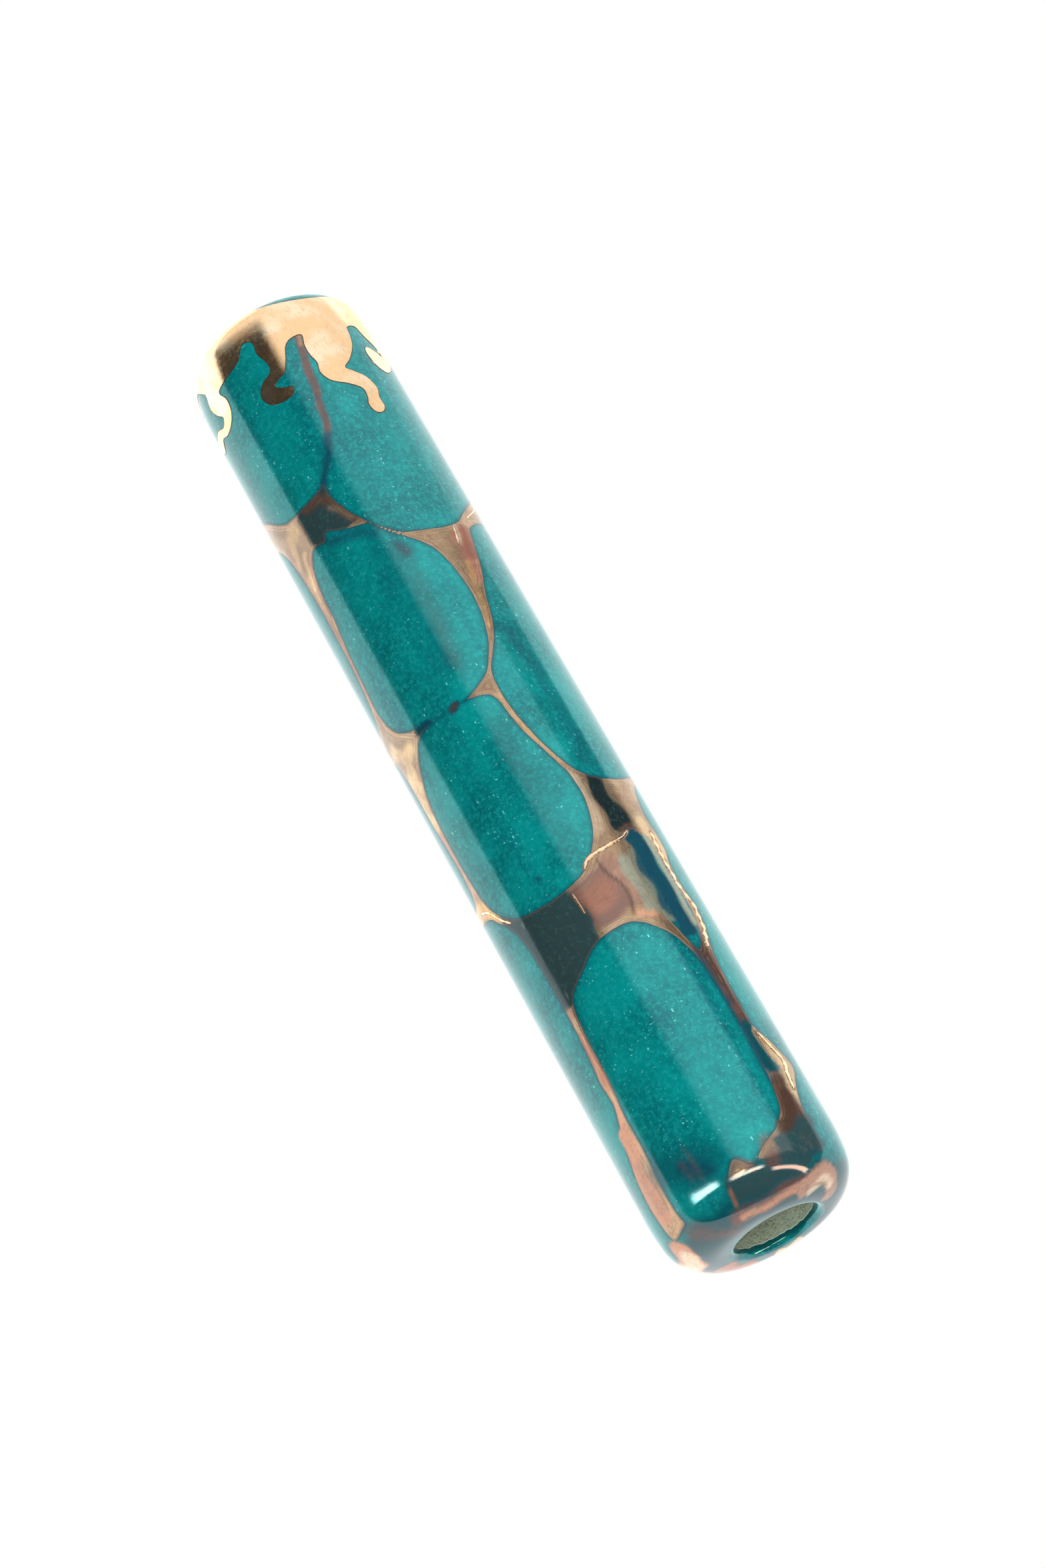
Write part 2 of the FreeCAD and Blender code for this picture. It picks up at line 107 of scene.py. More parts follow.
# The threads' mesh: sides of the section, points between two points, sink and rise.
THREAD_SIDES = 10
THREAD_STEPS = 14
THREAD_SINK = 0.01
THREAD_RISE = 0.035
THREAD_TAPER = 0.5
# What a distance field says where its curve is out of reach.
FAR = 9.0
# Place on the pattern that is given to hidden vertices.
NOWHERE = (0.0, -50.0)

# ---------------------------------------------------------------- pattern on the unrolled surface
# Cells of teal glass on the front and sides: degrees, and millimetres above the lower end.
CELLS = {
    "crown_left": (
        (-14, 97.3), (-22, 96.8), (-32, 96.7), (-42, 96.9), (-50, 97.4), (-58, 98.6), (-68, 100.3),
        (-80, 101.8), (-95, 102), (-108, 101.5), (-117, 105), (-120, 113), (-116, 126), (-60, 128),
        (0, 127), (17, 122), (17, 116), (14, 112), (11, 108.5), (8, 105), (4, 102.3), (0, 100.5),
        (-5, 99), (-10, 98),
    ),
    "crown_right": (
        (14, 116.2), (12, 112), (9, 107.5), (5, 103.5), (0, 101), (-5, 99.6), (-10, 98.2), (-13, 96.6),
        (-12.6, 95.2), (-10.4, 93.8), (-8, 92.6), (-4, 91.2), (0, 90), (4, 88.9), (8, 88), (14, 87),
        (22, 86.5), (30, 86.25), (38, 86.2), (46, 86.45), (52, 87), (58, 88), (66, 89.2), (78, 90.8),
        (92, 92.8), (103, 95.5), (110, 101), (111, 111), (106, 124), (60, 128), (18, 123),
    ),
    "middle": (
        (-53, 84), (-52.5, 86), (-51, 88), (-48, 90), (-44, 91.3), (-40, 91.9), (-36, 91.9), (-32, 91.6),
        (-29, 91.5), (-26.5, 92.4), (-23, 92.1), (-18, 91.4), (-12, 90.8), (-6, 90.4), (-1, 89.9),
        (3, 88.8), (7, 87.8), (11, 86.9), (15, 86.2), (20, 85.2), (25, 83.9), (28.5, 82.3), (30.5, 80.5),
        (31.8, 78.6), (32.3, 76.8), (31.7, 75), (30, 73.2), (27.8, 71.6), (25, 70.1), (21, 68.6),
        (17, 67.3), (13, 66.5), (8, 65.9), (3, 65.4), (-3, 65.0), (-12, 64.8), (-22, 65.0), (-30, 65.7),
        (-38, 66.1), (-44, 66.6), (-50, 67.4), (-55, 68.5), (-59, 69.9), (-61, 71.5), (-61.2, 73),
        (-60, 75), (-58.5, 77.5), (-57, 80), (-55, 82),
    ),
    "waist": (
        (0, 64.95), (6, 64.7), (11, 64.2), (13.5, 63.2), (14.5, 62), (15.5, 60.5), (17.5, 58.5), (20, 57),
        (23, 55.3), (26, 53.6), (28.3, 52.2), (29.3, 50.6), (29.3, 49), (28, 47.5), (26, 46),
        (23.5, 44.7), (20, 43.4), (15, 42.1), (10, 41.1), (4, 40.4), (-3, 40.0), (-10, 39.8), (-18, 39.8),
        (-26, 40.0), (-34, 40.4), (-40, 40.9), (-46, 41.8), (-52, 43), (-57, 44.6), (-60, 46.5),
        (-61.5, 49), (-62, 52), (-61.8, 55), (-60.5, 57.5), (-58, 59.5), (-54, 61.2), (-50, 62.6),
        (-46, 63.7), (-42, 64.6), (-37, 65.1), (-30, 65.25), (-20, 65.4), (-10, 65.4),
    ),
    "right": (
        (57.5, 86.0), (54, 84.4), (51, 82.4), (48, 80.4), (44.5, 78.6), (41, 77), (38.5, 75.4),
        (36, 73.6), (33, 72), (29, 70.4), (25, 69.1), (21, 67.9), (18.2, 66.8), (17, 65.5), (16.8, 64),
        (17.3, 62.2), (18.5, 60.5), (20.5, 58.6), (23.5, 56.4), (27, 54.5), (31, 52.9), (36, 51.7),
        (42, 51), (49, 50.6), (56, 50.5), (64, 50.7), (74, 51.2), (88, 52.3), (100, 54), (107, 58),
        (109, 66), (107, 76), (100, 84), (88, 88), (76, 87.6), (66, 86.9),
    ),
    "lower": (
        (8, 33.5), (15, 33.45), (22, 32.9), (28, 31.9), (34, 30.6), (39, 28.8), (42.5, 26.6), (44, 24),
        (44.3, 20), (44, 16), (43, 12.6), (41, 10), (38, 8.2), (34, 7.2), (29, 6.3), (25, 5.9), (21, 5.5),
        (17, 5.0), (13, 4.4), (9, 4.1), (6, 4.4), (3, 5.1), (0, 5.3), (-4, 4.5), (-8, 3.5), (-10, 2.4),
        (-12, 1.2), (-16, 0), (-24, -0.8), (-36, -0.4), (-42, 1.0), (-43.5, 4), (-43, 8), (-41.4, 12),
        (-41.6, 16), (-39.6, 19), (-38.8, 22), (-38.4, 25), (-37, 27.5), (-35.5, 29), (-32, 30),
        (-27, 30.6), (-20, 31.4), (-13, 32.3), (-5, 33.1), (2, 33.4),
    ),
    "left_lower": (
        (-62, 43.8), (-56, 42.6), (-50, 41.2), (-46, 39.8), (-43.5, 38), (-42.5, 36), (-42, 33),
        (-42, 30), (-42.3, 27), (-43.5, 23.5), (-45.5, 20.5), (-44.5, 18), (-48, 16), (-53, 13.6),
        (-58, 11), (-61, 8), (-61, 4), (-62, 0), (-75, -1), (-95, 1), (-112, 5), (-120, 14), (-121, 26),
        (-116, 36), (-104, 42), (-88, 44.5), (-74, 44.6),
    ),
    "left_upper": (
        (-64, 93.5), (-61.5, 90), (-60.3, 86), (-60.3, 82), (-61.5, 78), (-64, 74.5), (-68, 72),
        (-76, 70.6), (-88, 70), (-102, 71), (-112, 75), (-117, 82), (-116, 90), (-108, 96), (-94, 98.2),
        (-80, 97.6), (-70, 96),
    ),
    "left_waist": (
        (-74, 66), (-70.5, 63.5), (-69.5, 60.5), (-69, 57), (-67, 54), (-66, 51), (-67, 48.5),
        (-71, 46.8), (-80, 46.6), (-94, 47.5), (-108, 50), (-117, 55), (-118, 61), (-110, 66.4),
        (-96, 68), (-84, 67.6),
    ),
    "spur": (
        (45, 43.6), (42, 42), (39.5, 40), (38, 37.5), (37.2, 35), (37.5, 32.5), (40, 30.6), (43, 28.8),
        (46, 28), (50, 29), (54, 30.6), (57, 32.4), (57.6, 34.6), (56.4, 37), (56.8, 39), (55.6, 41),
        (53, 42.6), (49, 43.4),
    ),
    "right_lower": (
        (76, 50.2), (69, 48.2), (65.5, 45.6), (67, 43.2), (66, 41), (62.6, 39.6), (61.4, 37.8),
        (61.6, 36), (63.6, 34), (62.4, 32), (59.4, 30.2), (56, 28.6), (53.4, 26), (52, 22), (52.4, 18.4),
        (58, 16.6), (65, 14.6), (68, 13.2), (62, 11.4), (57, 9.8), (53.5, 7.4), (52.6, 4), (54, 0.5),
        (70, -0.6), (88, 1), (101, 6), (107, 16), (109, 28), (106, 40), (98, 48), (88, 50.8),
    ),
}
# Middles of the cells on the back: degrees and height.
BACK_SEEDS = (
    (128, 107), (120, 90), (141, 88), (126, 70), (148, 66), (119, 47), (140, 44), (127, 25), (149, 22),
    (122, 6), (150, 2), (166, 110), (184, 98), (168, 82), (188, 76), (172, 56), (190, 50), (170, 34),
    (186, 24), (176, 8), (204, 112), (206, 88), (222, 98), (212, 66), (228, 78), (208, 40), (226, 52),
    (210, 16), (229, 28), (224, 4), (236, 112),
)
# Their veins' half width, how soft and how tall the cells are, where they start round the case and
# how far they keep off the front cells.
BACK_VEIN = 0.34
BACK_SOFTNESS = 0.30
BACK_SQUASH = 0.42
BACK_FROM = 96
BACK_CLEAR = 0.62
# Lower edge of the gold: degrees, and millimetres below the upper end.
GOLD_EDGE = (
    (-58, 4.7), (-60, 6.7), (-56.5, 8.2), (-52, 9.3), (-57, 10), (-66, 9.2), (-76, 9.3),
    (-80, 10.3), (-72, 11.3), (-65, 10.5), (-57, 11.1), (-49, 10.9), (-43.5, 9.9), (-42, 8.3),
    (-44.8, 6.8), (-38, 6.4), (-29, 6.2), (-21, 5.7), (-15, 4.4), (-8.5, 5), (-9, 6.8), (-6.5, 8.4),
    (-7.5, 9.8), (-15, 10.5), (-19.5, 11.7), (-17, 13.2), (-10, 13.9), (-3, 13.8), (-0.5, 13),
    (-6, 12.5), (-10, 11.7), (-6, 11.1), (-0.5, 10.7), (3.5, 9.4), (7.5, 7.7), (13, 7), (19.5, 7.1),
    (18, 8.6), (18, 10), (19.5, 11.4), (18.3, 12.8), (22, 14.3), (31, 15.3), (37.5, 16.3),
    (37.5, 17.6), (35.6, 18.7), (37.5, 19.8), (42, 19.9), (45.3, 19.1), (45.2, 17.8), (47.5, 16.3),
    (44.5, 14.7), (37.5, 13.6), (34, 12.9), (40, 11.8), (47, 9.9), (50, 8.2), (51.5, 6.9),
    (59, 6.6), (63.5, 8), (69.5, 9.3), (71.5, 10.6), (66, 10.2), (59, 9.8), (56, 10.8), (59, 12.7),
    (65, 13.4), (72, 12.8), (80, 11), (87, 9.2), (96, 7.4), (106, 7), (113, 8.6), (115.5, 11),
    (112, 13.6), (114, 16.2), (120, 17), (125.5, 15.6), (124, 12.8), (127.5, 10), (136, 7.2),
    (147, 6), (157, 6.6), (163, 8.6), (161, 10.8), (165, 12.2), (171.5, 11.6), (174.5, 9.4),
    (182, 7), (192, 6.4), (199, 7.8), (201.5, 10.4), (199, 13), (202, 15), (208, 15.2),
    (212.5, 13.2), (212, 10.4), (216.5, 8.2), (226, 6.4), (237, 6), (244, 7.2), (249.5, 9),
    (256, 9.4), (261, 7.4), (268, 4.4), (278, 3.2), (290, 2.8),
)
# Upper edge of the gold, round the pool of glaze on the end: degrees, and millimetres along the
# surface, where the wall's height carries on over the rounded edge. The pool spills over the edge
# towards the front right.
POOL_BACK = 128.6
POOL_SPILL = 7.4
POOL_FACES = 36
GOLD_BRIM = tuple(
    (degrees, POOL_BACK - POOL_SPILL * math.cos(math.radians(degrees - POOL_FACES) / 2) ** 4)
    for degrees in range(-170, 190, 18)
)
# Colours of the lustre film: red, green, blue, and how metallic it is.
FILM_TONES = {
    "tan": (0.40, 0.27, 0.165, 0.85),
    "gold": (0.62, 0.45, 0.26, 0.95),
    "cream": (0.66, 0.53, 0.38, 0.90),
    "amber": (0.66, 0.40, 0.16, 0.85),
    "sand": (0.31, 0.225, 0.155, 0.85),
    "rose": (0.36, 0.20, 0.145, 0.60),
    "umber": (0.145, 0.070, 0.060, 0.25),
    "peach": (0.52, 0.25, 0.15, 0.40),
    "copper": (0.36, 0.15, 0.095, 0.55),
    "rust": (0.20, 0.065, 0.040, 0.30),
    "brown": (0.085, 0.042, 0.028, 0.40),
    "moss": (0.26, 0.29, 0.22, 0.55),
    "slate": (0.022, 0.050, 0.054, 0.12),
    "navy": (0.002, 0.040, 0.068, 0.0),
    # deep is dark teal glass, and in the two soft strokes down the front middle it is painted shade
    "deep": (0.000, 0.060, 0.074, 0.0),
    "coal": (0.008, 0.018, 0.020, 0.05),
}
# Brush strokes that colour the film between the cells: tone, half width, softness, strength, points.
VEIN_STROKES = (
    ("sand", 3.2, 0.8, 1.0, ((-44, 94.0), (-50, 94.0), (-58, 95.6), (-66, 98.0))),
    ("gold", 0.7, 0.7, 0.7, ((-46, 95.6), (-54, 95.4), (-60, 92.6))),
    ("gold", 0.35, 0.4, 0.8, ((-48, 92.6), (-54, 89.4), (-57.4, 85.4))),
    ("slate", 3.4, 0.35, 1.0, ((-22, 94.0), (-12, 94.2))),
    ("slate", 3.0, 0.25, 1.0, ((-24, 94.4), (-22, 94))),
    ("brown", 0.5, 0.6, 0.85, ((-30, 96.4), (-20, 96.2), (-13, 94.6), (-8, 92.4), (-2, 90.6), (2, 89.6))),
    ("tan", 0.14, 0.4, 0.35, ((-17, 94.4), (-12, 93.4), (-8, 91.8))),
    ("gold", 0.20, 0.25, 0.9, ((1, 89.9), (7, 88.4), (14, 87.3), (24, 86.6), (36, 86.5))),
    ("rose", 0.35, 0.3, 0.8, ((-61, 95), (-61.5, 90), (-58.5, 85), (-59, 80), (-61, 75), (-63, 71))),
    ("rose", 0.35, 0.3, 0.8, ((-46, 91.8), (-51, 88.6), (-54, 85))),
    ("sand", 2.4, 0.7, 1.0, ((-44, 65.8), (-54, 65.2), (-64, 66.2), (-72, 68.4))),
    ("gold", 0.8, 0.6, 0.9, ((-52, 65.0), (-60, 65.4), (-68, 67.2))),
    ("gold", 1.0, 0.5, 0.9, ((-60, 63.5), (-65.5, 60.5), (-66.5, 57))),
    ("rose", 0.7, 0.4, 0.8, ((-65.5, 55), (-64, 51), (-65, 48))),
    ("slate", 0.5, 0.4, 1.0, ((-37.5, 65.6), (-30, 65.5))),
    ("amber", 0.8, 0.5, 1.0, ((-74, 45.8), (-62, 44.9), (-52, 42.6), (-44, 40.6), (-41, 39.6))),
    ("rose", 0.5, 0.4, 0.8, ((-41, 38), (-40, 34), (-40, 28))),
    ("copper", 0.6, 0.4, 0.9, ((-40.4, 25.5), (-41, 22), (-42, 19.4))),
    ("peach", 1.3, 0.5, 1.0, ((-46, 17), (-50, 14), (-54, 10), (-54, 6))),
    ("tan", 0.9, 0.5, 0.9, ((26, 85.4), (34, 84.8), (39, 83.6))),
    ("copper", 1.2, 0.4, 1.0, ((44, 84.6), (50, 84.8), (46, 81.4), (42, 79.6))),
    ("rust", 0.8, 0.4, 0.9, ((53, 85.8), (50.4, 83.8), (48, 82))),
    ("cream", 0.22, 0.15, 1.0, ((45.6, 86.2), (44.6, 85.0), (42.6, 83.8))),
    ("tan", 0.6, 0.5, 1.0, ((54, 87.2), (60, 87.4), (70, 88.6))),
    ("amber", 0.22, 0.3, 0.7, ((40, 81), (37.4, 78), (35.6, 75.4), (32, 72.6))),
    ("tan", 0.5, 0.4, 0.8, ((12, 65.6), (17, 66.2), (25, 69.5))),
    ("amber", 0.18, 0.2, 0.7, ((16.6, 63.6), (18.4, 60), (23, 56.4), (29, 53.6))),
    ("cream", 0.45, 0.5, 0.55, ((29.8, 52), (31, 49.6), (30, 47), (27, 44.6))),
    ("coal", 1.8, 0.5, 1.0, ((44.5, 50.6), (44.5, 45.4))),
    ("brown", 0.4, 0.35, 0.9, ((41, 43.8), (45, 44.1), (50, 44))),
    ("tan", 1.5, 0.6, 0.85, ((55, 50.4), (57, 47), (60, 44))),
    ("gold", 0.9, 0.3, 1.0, ((59, 44.6), (61.5, 42.2), (60, 40))),
    ("umber", 3.0, 0.6, 0.9, ((8, 37.4), (16, 37.6))),
    ("copper", 1.2, 1.2, 0.7, ((6, 37.4), (12, 38.0))),
    ("slate", 4.2, 0.35, 1.0, ((-34, 40.2), (-34, 33), (-26, 36.2))),
    ("slate", 2.4, 0.5, 1.0, ((-16, 38.4), (-14, 34))),
    ("rose", 0.9, 0.35, 0.9, ((23, 40.6), (26.4, 38.6), (26.6, 36))),
    ("moss", 0.7, 0.25, 0.9, ((31.6, 40.4), (32, 37.4), (33, 34.4))),
    ("peach", 0.4, 0.2, 0.9, ((23.5, 33.9), (31, 33.4))),
    ("brown", 0.16, 0.22, 0.85, ((16.5, 41.5), (18.6, 39.6), (22.6, 37.8), (23, 36), (20.6, 34.2))),
    ("moss", 0.5, 0.2, 0.9, ((53, 42.6), (54.6, 39), (57, 35))),
    ("brown", 1.3, 0.3, 1.0, ((50, 29.6), (47, 26), (47, 22), (47.6, 18.4))),
    ("rust", 0.26, 0.25, 0.8, ((46.2, 23.2), (46.4, 22.6))),
    ("rust", 0.28, 0.25, 0.8, ((47.2, 20.8), (47.4, 20.2))),
    ("deep", 1.2, 0.4, 1.0, ((49, 17.4), (48.6, 13.4))),
    ("brown", 1.5, 0.5, 1.0, ((47, 10.6), (44, 7.4))),
    ("gold", 0.9, 0.3, 1.0, ((53, 17), (58, 14.6), (61, 13), (56.5, 10.4))),
)
# Strokes laid over glass and film alike.
OVER_STROKES = (
    ("umber", 0.38, 0.34, 0.9, ((18, 116.6), (14.6, 114), (13, 111.8), (10.8, 109), (9, 107),
                                (7.4, 105.4), (5, 103.4))),
    # painted highlight: a light tan line near the top of the umber vein before it
    ("tan", 0.16, 0.22, 0.8, ((18.6, 116.4), (16, 114.8))),
    ("navy", 0.40, 0.75, 0.85, ((3.6, 102.6), (0.6, 101.2), (-3, 100), (-7, 98.9), (-12, 97.6))),
    ("navy", 0.5, 0.9, 0.75, ((-26, 91), (-17, 90.2), (-8, 89.4), (-2, 88.6))),
    ("navy", 0.4, 0.7, 0.8, ((7, 86), (9.6, 84.6))),
    # painted shade: these two soft deep strokes darken the glass down the front middle of the case
    ("deep", 0.9, 3.0, 0.55, ((-4, 86), (0, 78), (-2, 70))),
    ("deep", 0.8, 3.0, 0.35, ((4, 60), (5, 52), (4, 45))),
    ("umber", 0.08, 1.5, 0.24, ((9.8, 85), (9.4, 81), (8, 77), (6, 73), (3, 70))),
    ("navy", 0.12, 0.55, 0.55, ((-38, 65.5), (-24, 65.3), (-10, 65), (2, 65))),
    ("navy", 0.35, 0.15, 1.0, ((-38, 65.6), (-29, 65.6))),
    ("navy", 0.50, 0.16, 1.0, ((-12.2, 64.9), (-9.2, 65.1))),
    ("brown", 0.28, 0.16, 0.7, ((-12, 64.9), (-9.4, 65.1))),
    ("moss", 0.45, 0.35, 0.75, ((37.4, 41), (37, 37), (38, 32.6))),
    ("navy", 1.25, 0.30, 0.95, ((45, 42.6), (45, 36), (46.4, 31))),
    ("moss", 0.42, 0.18, 0.9, ((54, 42.4), (54.4, 38), (54.6, 35), (53, 31.4))),
    ("navy", 0.5, 0.6, 0.6, ((42, 28), (44.6, 24), (44.4, 18), (42.6, 12))),
    ("navy", 0.7, 0.8, 0.45, ((38, 72), (44, 68), (46, 60), (44, 53.4))),
    ("deep", 2.6, 1.2, 1.0, tuple((degrees, -0.6) for degrees in range(-180, 181, 60))),
    ("deep", 1.7, 2.0, 0.75, ((-36, 8.4), (-22, 7.0), (-10, 6.2))),
    ("navy", 0.5, 0.9, 0.8, ((-26, 7.6), (-12, 5.6))),
    ("rust", 0.08, 0.5, 0.25, ((-20, 10.4), (-18.6, 7.4), (-18.4, 5.2))),
    ("rust", 0.12, 0.6, 0.2, ((-25, 8), (-23, 6))),
    ("slate", 1.35, 0.7, 0.95, ((-4, 2.5), (10, 2.3), (24, 2.6), (38, 3.4), (50, 4.2))),
    ("slate", 0.8, 0.8, 0.95, ((30, 5.0), (42, 5.8), (52, 6.2))),
    ("rust", 0.5, 0.8, 0.5, ((21.6, 5.6), (19.4, 3.4))),
    ("rust", 0.4, 0.4, 0.6, ((3, 4.9), (8, 3.9))),
    ("copper", 0.12, 0.25, 0.9, ((-9, 2.8), (-10.6, 1.2))),
    ("brown", 0.7, 0.4, 0.9, ((48, 9.6), (41, 7.2), (34, 6.6))),
    ("rust", 0.75, 0.7, 0.7, ((-17, -0.5), (-6, -0.5), (10, -0.5), (24, -0.2), (36, 0.2))),
    ("peach", 0.45, 0.4, 0.7, ((-12, -0.7), (6, -0.8), (22, -0.6), (36, 0))),
    ("rose", 1.0, 0.3, 1.0, ((36, -0.6), (50, 0.7), (60, 0.8), (70, -0.6), (75, -1.8))),
    ("cream", 0.5, 0.4, 0.8, ((44, -1.2), (56, 0), (66, -0.4))),
    ("rust", 0.10, 0.2, 0.6, ((40, -0.7), (52, -0.3), (62, -0.5))),
    ("peach", 1.5, 0.4, 1.0, ((-66, 1.4), (-78, 0.3), (-92, 0.8), (-106, 0.6))),
    ("cream", 0.9, 0.5, 0.9, ((-68, 0.6), (-84, 0.2), (-100, 1.2))),
    ("copper", 0.9, 0.3, 1.0, ((-108, -2.2), (-132, -2.1), (-152, -1.9))),
    ("gold", 0.8, 0.25, 1.0, ((182, -2.2), (174, -1.8), (160, -2.4))),
    ("copper", 0.16, 0.2, 1.0, ((184, -1.2), (170, -0.9), (156, -1.4))),
    ("rust", 0.16, 0.12, 0.9, GOLD_BRIM),
    ("copper", 1.1, 0.4, 1.0, ((150, 2.2), (128, 1.2), (112, 2.6))),
    ("amber", 0.5, 0.4, 0.9, ((146, 2), (130, 1.4), (118, 2.2))),
    ("peach", 0.9, 0.3, 1.0, ((-48, 14.6), (-52, 11), (-53.4, 7.6), (-51.6, 5.2))),
    ("rose", 0.5, 0.7, 0.6, ((-50, 11), (-54, 8), (-52, 5.6))),
    ("rust", 0.7, 1.2, 0.45, ((-46, 2), (-36, -0.2), (-28, -1.4))),
    ("navy", 0.22, 0.25, 0.8, ((-16.4, 42.9), (-15.6, 42.5))),
    ("moss", 0.05, 0.10, 0.7, ((-39, 40.2), (-37.4, 39.0))),
    ("moss", 0.04, 0.10, 0.6, ((-36.4, 31.2), (-35.2, 29.8))),
)
# Raised threads of bright gold: half width, how far it swells into beads, and points.
THREADS = (
    (0.18, 0.15, ((8.4, 41.0), (12, 41.8), (18, 42.2), (24, 42.4), (31, 42.7), (38, 43.0), (43.4, 43.7))),
    (0.28, 0.45, ((61.6, 43.4), (59.4, 41.2), (58.6, 39.4), (58.9, 37.8), (58.4, 36.6),
                  (59.8, 35.2), (62.4, 34.0), (60.8, 32.4), (59.4, 31.0), (56, 29.6), (53, 28.4))),
    (0.30, 0.20, ((52.8, 17.4), (56.5, 15.8), (61.5, 13.9), (58, 12.2), (56, 10.4))),
    (0.09, 0.20, ((60, 87.5), (68, 88.5), (78, 89.7), (92, 91.6))),
    (0.11, 0.30, ((-46, 41.2), (-52, 42.4), (-60, 44.4), (-70, 45.5))),
    (0.09, 0.10, ((-3.9, 39.2), (-3.2, 36.6))),
    (0.10, 0.30, ((44.8, 86.2), (43.8, 85.2), (41.4, 83.6))),
    (0.12, 0.55, ((114, 52.4), (119, 54.6), (118, 57.4), (122, 59.6), (120, 62))),
    (0.14, 0.50, ((-128, 90), (-131, 87.6), (-128.6, 85), (-131.4, 82), (-129, 79.6))),
)


# ---------------------------------------------------------------- surface of the case
def end_arcs(end, inset, steps):
    """Half outline of one end from the flat face out to the straight wall, as (radius, depth)."""
    edge, shoulder, height = end
    turn = math.asin((height - edge) / (shoulder - edge))
    centre = RADIUS - shoulder + (shoulder - edge) * math.cos(turn)
    points = []
    for angle in np.linspace(math.pi / 2, turn, steps[0]):
        depth = edge - (edge - inset) * math.sin(angle)
        points.append((centre + (edge - inset) * math.cos(angle), depth))
    for angle in np.linspace(turn, 0.0, steps[1])[1:]:
        radius = RADIUS - shoulder + (shoulder - inset) * math.cos(angle)
        points.append((radius, height - (shoulder - inset) * math.sin(angle)))
    return points


def lengths(line):
    """Length along a line from its start to each of its points."""
    return np.concatenate([[0], np.cumsum(np.hypot(*np.diff(line, axis=0).T))])


def smooth_step(value, low, high):
    share = np.clip((value - low) / (high - low), 0, 1)
    return share * share * (3 - 2 * share)


def ragged_edge():
    """Depth, round the mouth, at which the glaze breaks off inside the bore."""
    random = np.random.default_rng(11)
    angle = np.linspace(0, 2 * math.pi, SEGMENTS, endpoint=False)
    depth = np.full(SEGMENTS, EDGE_DEPTH)
    for waves, size in EDGE_WAVES:
        depth += size * np.sin(waves * angle + random.uniform(0, 2 * math.pi))
    for chip in random.uniform(0, 2 * math.pi, EDGE_CHIPS):
        away = np.abs((angle - chip + math.pi) % (2 * math.pi) - math.pi)
        depth -= random.uniform(0.03, 0.11) * np.exp(-((away / random.uniform(0.03, 0.10)) ** 2))
    return depth


class Rings:
    """Rings of vertices stacked into a surface, with their place on the pattern."""

    def __init__(self):
        self.points = []
        self.height = []
        self.chip = []

    def add(self, radius, z, along, shift=0.0, chip=-FAR):
        angle = np.linspace(-math.pi, math.pi, SEGMENTS, endpoint=False)
        radius = np.broadcast_to(radius, SEGMENTS)
        x = shift + radius * np.sin(angle)
        y = -radius * np.cos(angle)
        self.points.append(np.stack([x, y, np.full(SEGMENTS, z)], 1))
        self.height.append(np.full(SEGMENTS, along))
        self.chip.append(np.broadcast_to(chip, SEGMENTS))


def mouth_rings(rings, face_in, face_along):
    """The glaze in the bore, round the lip and over the flat face, whose inner edge is face_in."""
    ragged = ragged_edge()
    lip_outer = BORE + LIP_ROUND
    face = face_in - lip_outer
    lip_along = face_along - face
    for z in np.linspace(LIP_DEPTH + 0.02, LIP_ROUND, 14):
        depth = z - ragged
        radius = BORE + EDGE_STEP * smooth_step(depth, -0.02, 0.06) - GLAZE_PROUD
        along = lip_along - LIP_ROUND * math.pi / 2 - (z - LIP_ROUND)
        rings.add(radius, z, along, BORE_SHIFT, depth)
    for angle in np.linspace(0, math.pi / 2, 10)[1:]:
        radius = lip_outer - (LIP_ROUND + GLAZE_PROUD * math.cos(angle)) * math.cos(angle)
        z = LIP_ROUND * (1 - math.sin(angle))
        rings.add(radius, z, lip_along - LIP_ROUND * (math.pi / 2 - angle), BORE_SHIFT, z - ragged)
    for share in (0.34, 0.67):
        left = 1 - share
        rings.add(lip_outer + face * share, 0.0, face_along - face * left, BORE_SHIFT * left)


def glaze_rings():
    """The glaze from its broken edge in the bore, round the lip and up to the upper end."""
    rings = Rings()
    lower = end_arcs(LOWER_END, 0.0, (18, 8))
    path = lengths(lower)
    face_along = LOWER_END[2] - path[-1]
    mouth_rings(rings, lower[0][0], face_along)
    for (radius, z), length in zip(lower, path):
        rings.add(radius, z, face_along + length)
    wall_top = LENGTH - UPPER_END[2]
    for z in np.linspace(LOWER_END[2], wall_top, 272)[1:-1]:
        rings.add(RADIUS, z, z)
    upper = end_arcs(UPPER_END, 0.0, (14, 10))[::-1]
    upper += [(upper[-1][0] * share, 0.0) for share in (0.8, 0.6, 0.4, 0.2, 0.04)]
    for (radius, depth), length in zip(upper, lengths(upper)):
        rings.add(radius, LENGTH - depth, wall_top + length)
    return rings


def back_rings():
    """Inner side of the glaze, against the clay, from the upper end back to the mouth."""
    rings = Rings()
    upper = end_arcs(UPPER_END, GLAZE, (4, 4))
    for share in (0.04, 0.5):
        rings.add(upper[0][0] * share, LENGTH - GLAZE, 0)
    for radius, depth in upper:
        rings.add(radius, LENGTH - depth, 0)
    for z in np.linspace(LENGTH - UPPER_END[2], LOWER_END[2], 8)[1:-1]:
        rings.add(RADIUS - GLAZE, z, 0)
    for radius, depth in end_arcs(LOWER_END, GLAZE, (6, 4))[::-1]:
        rings.add(radius, depth, 0)
    for z in (GLAZE, LIP_DEPTH):
        rings.add(BORE + GLAZE, z, 0, BORE_SHIFT)
    return rings


def ring_faces(count):
    """Quads between neighbouring rings, and from the last ring back to the first."""
    low = np.arange(count * SEGMENTS).reshape(count, SEGMENTS)
    high = np.roll(low, -1, axis=0)
    quads = [low, np.roll(low, -1, axis=1), np.roll(high, -1, axis=1), high]
    return np.stack(quads, 2).reshape(-1, 4)


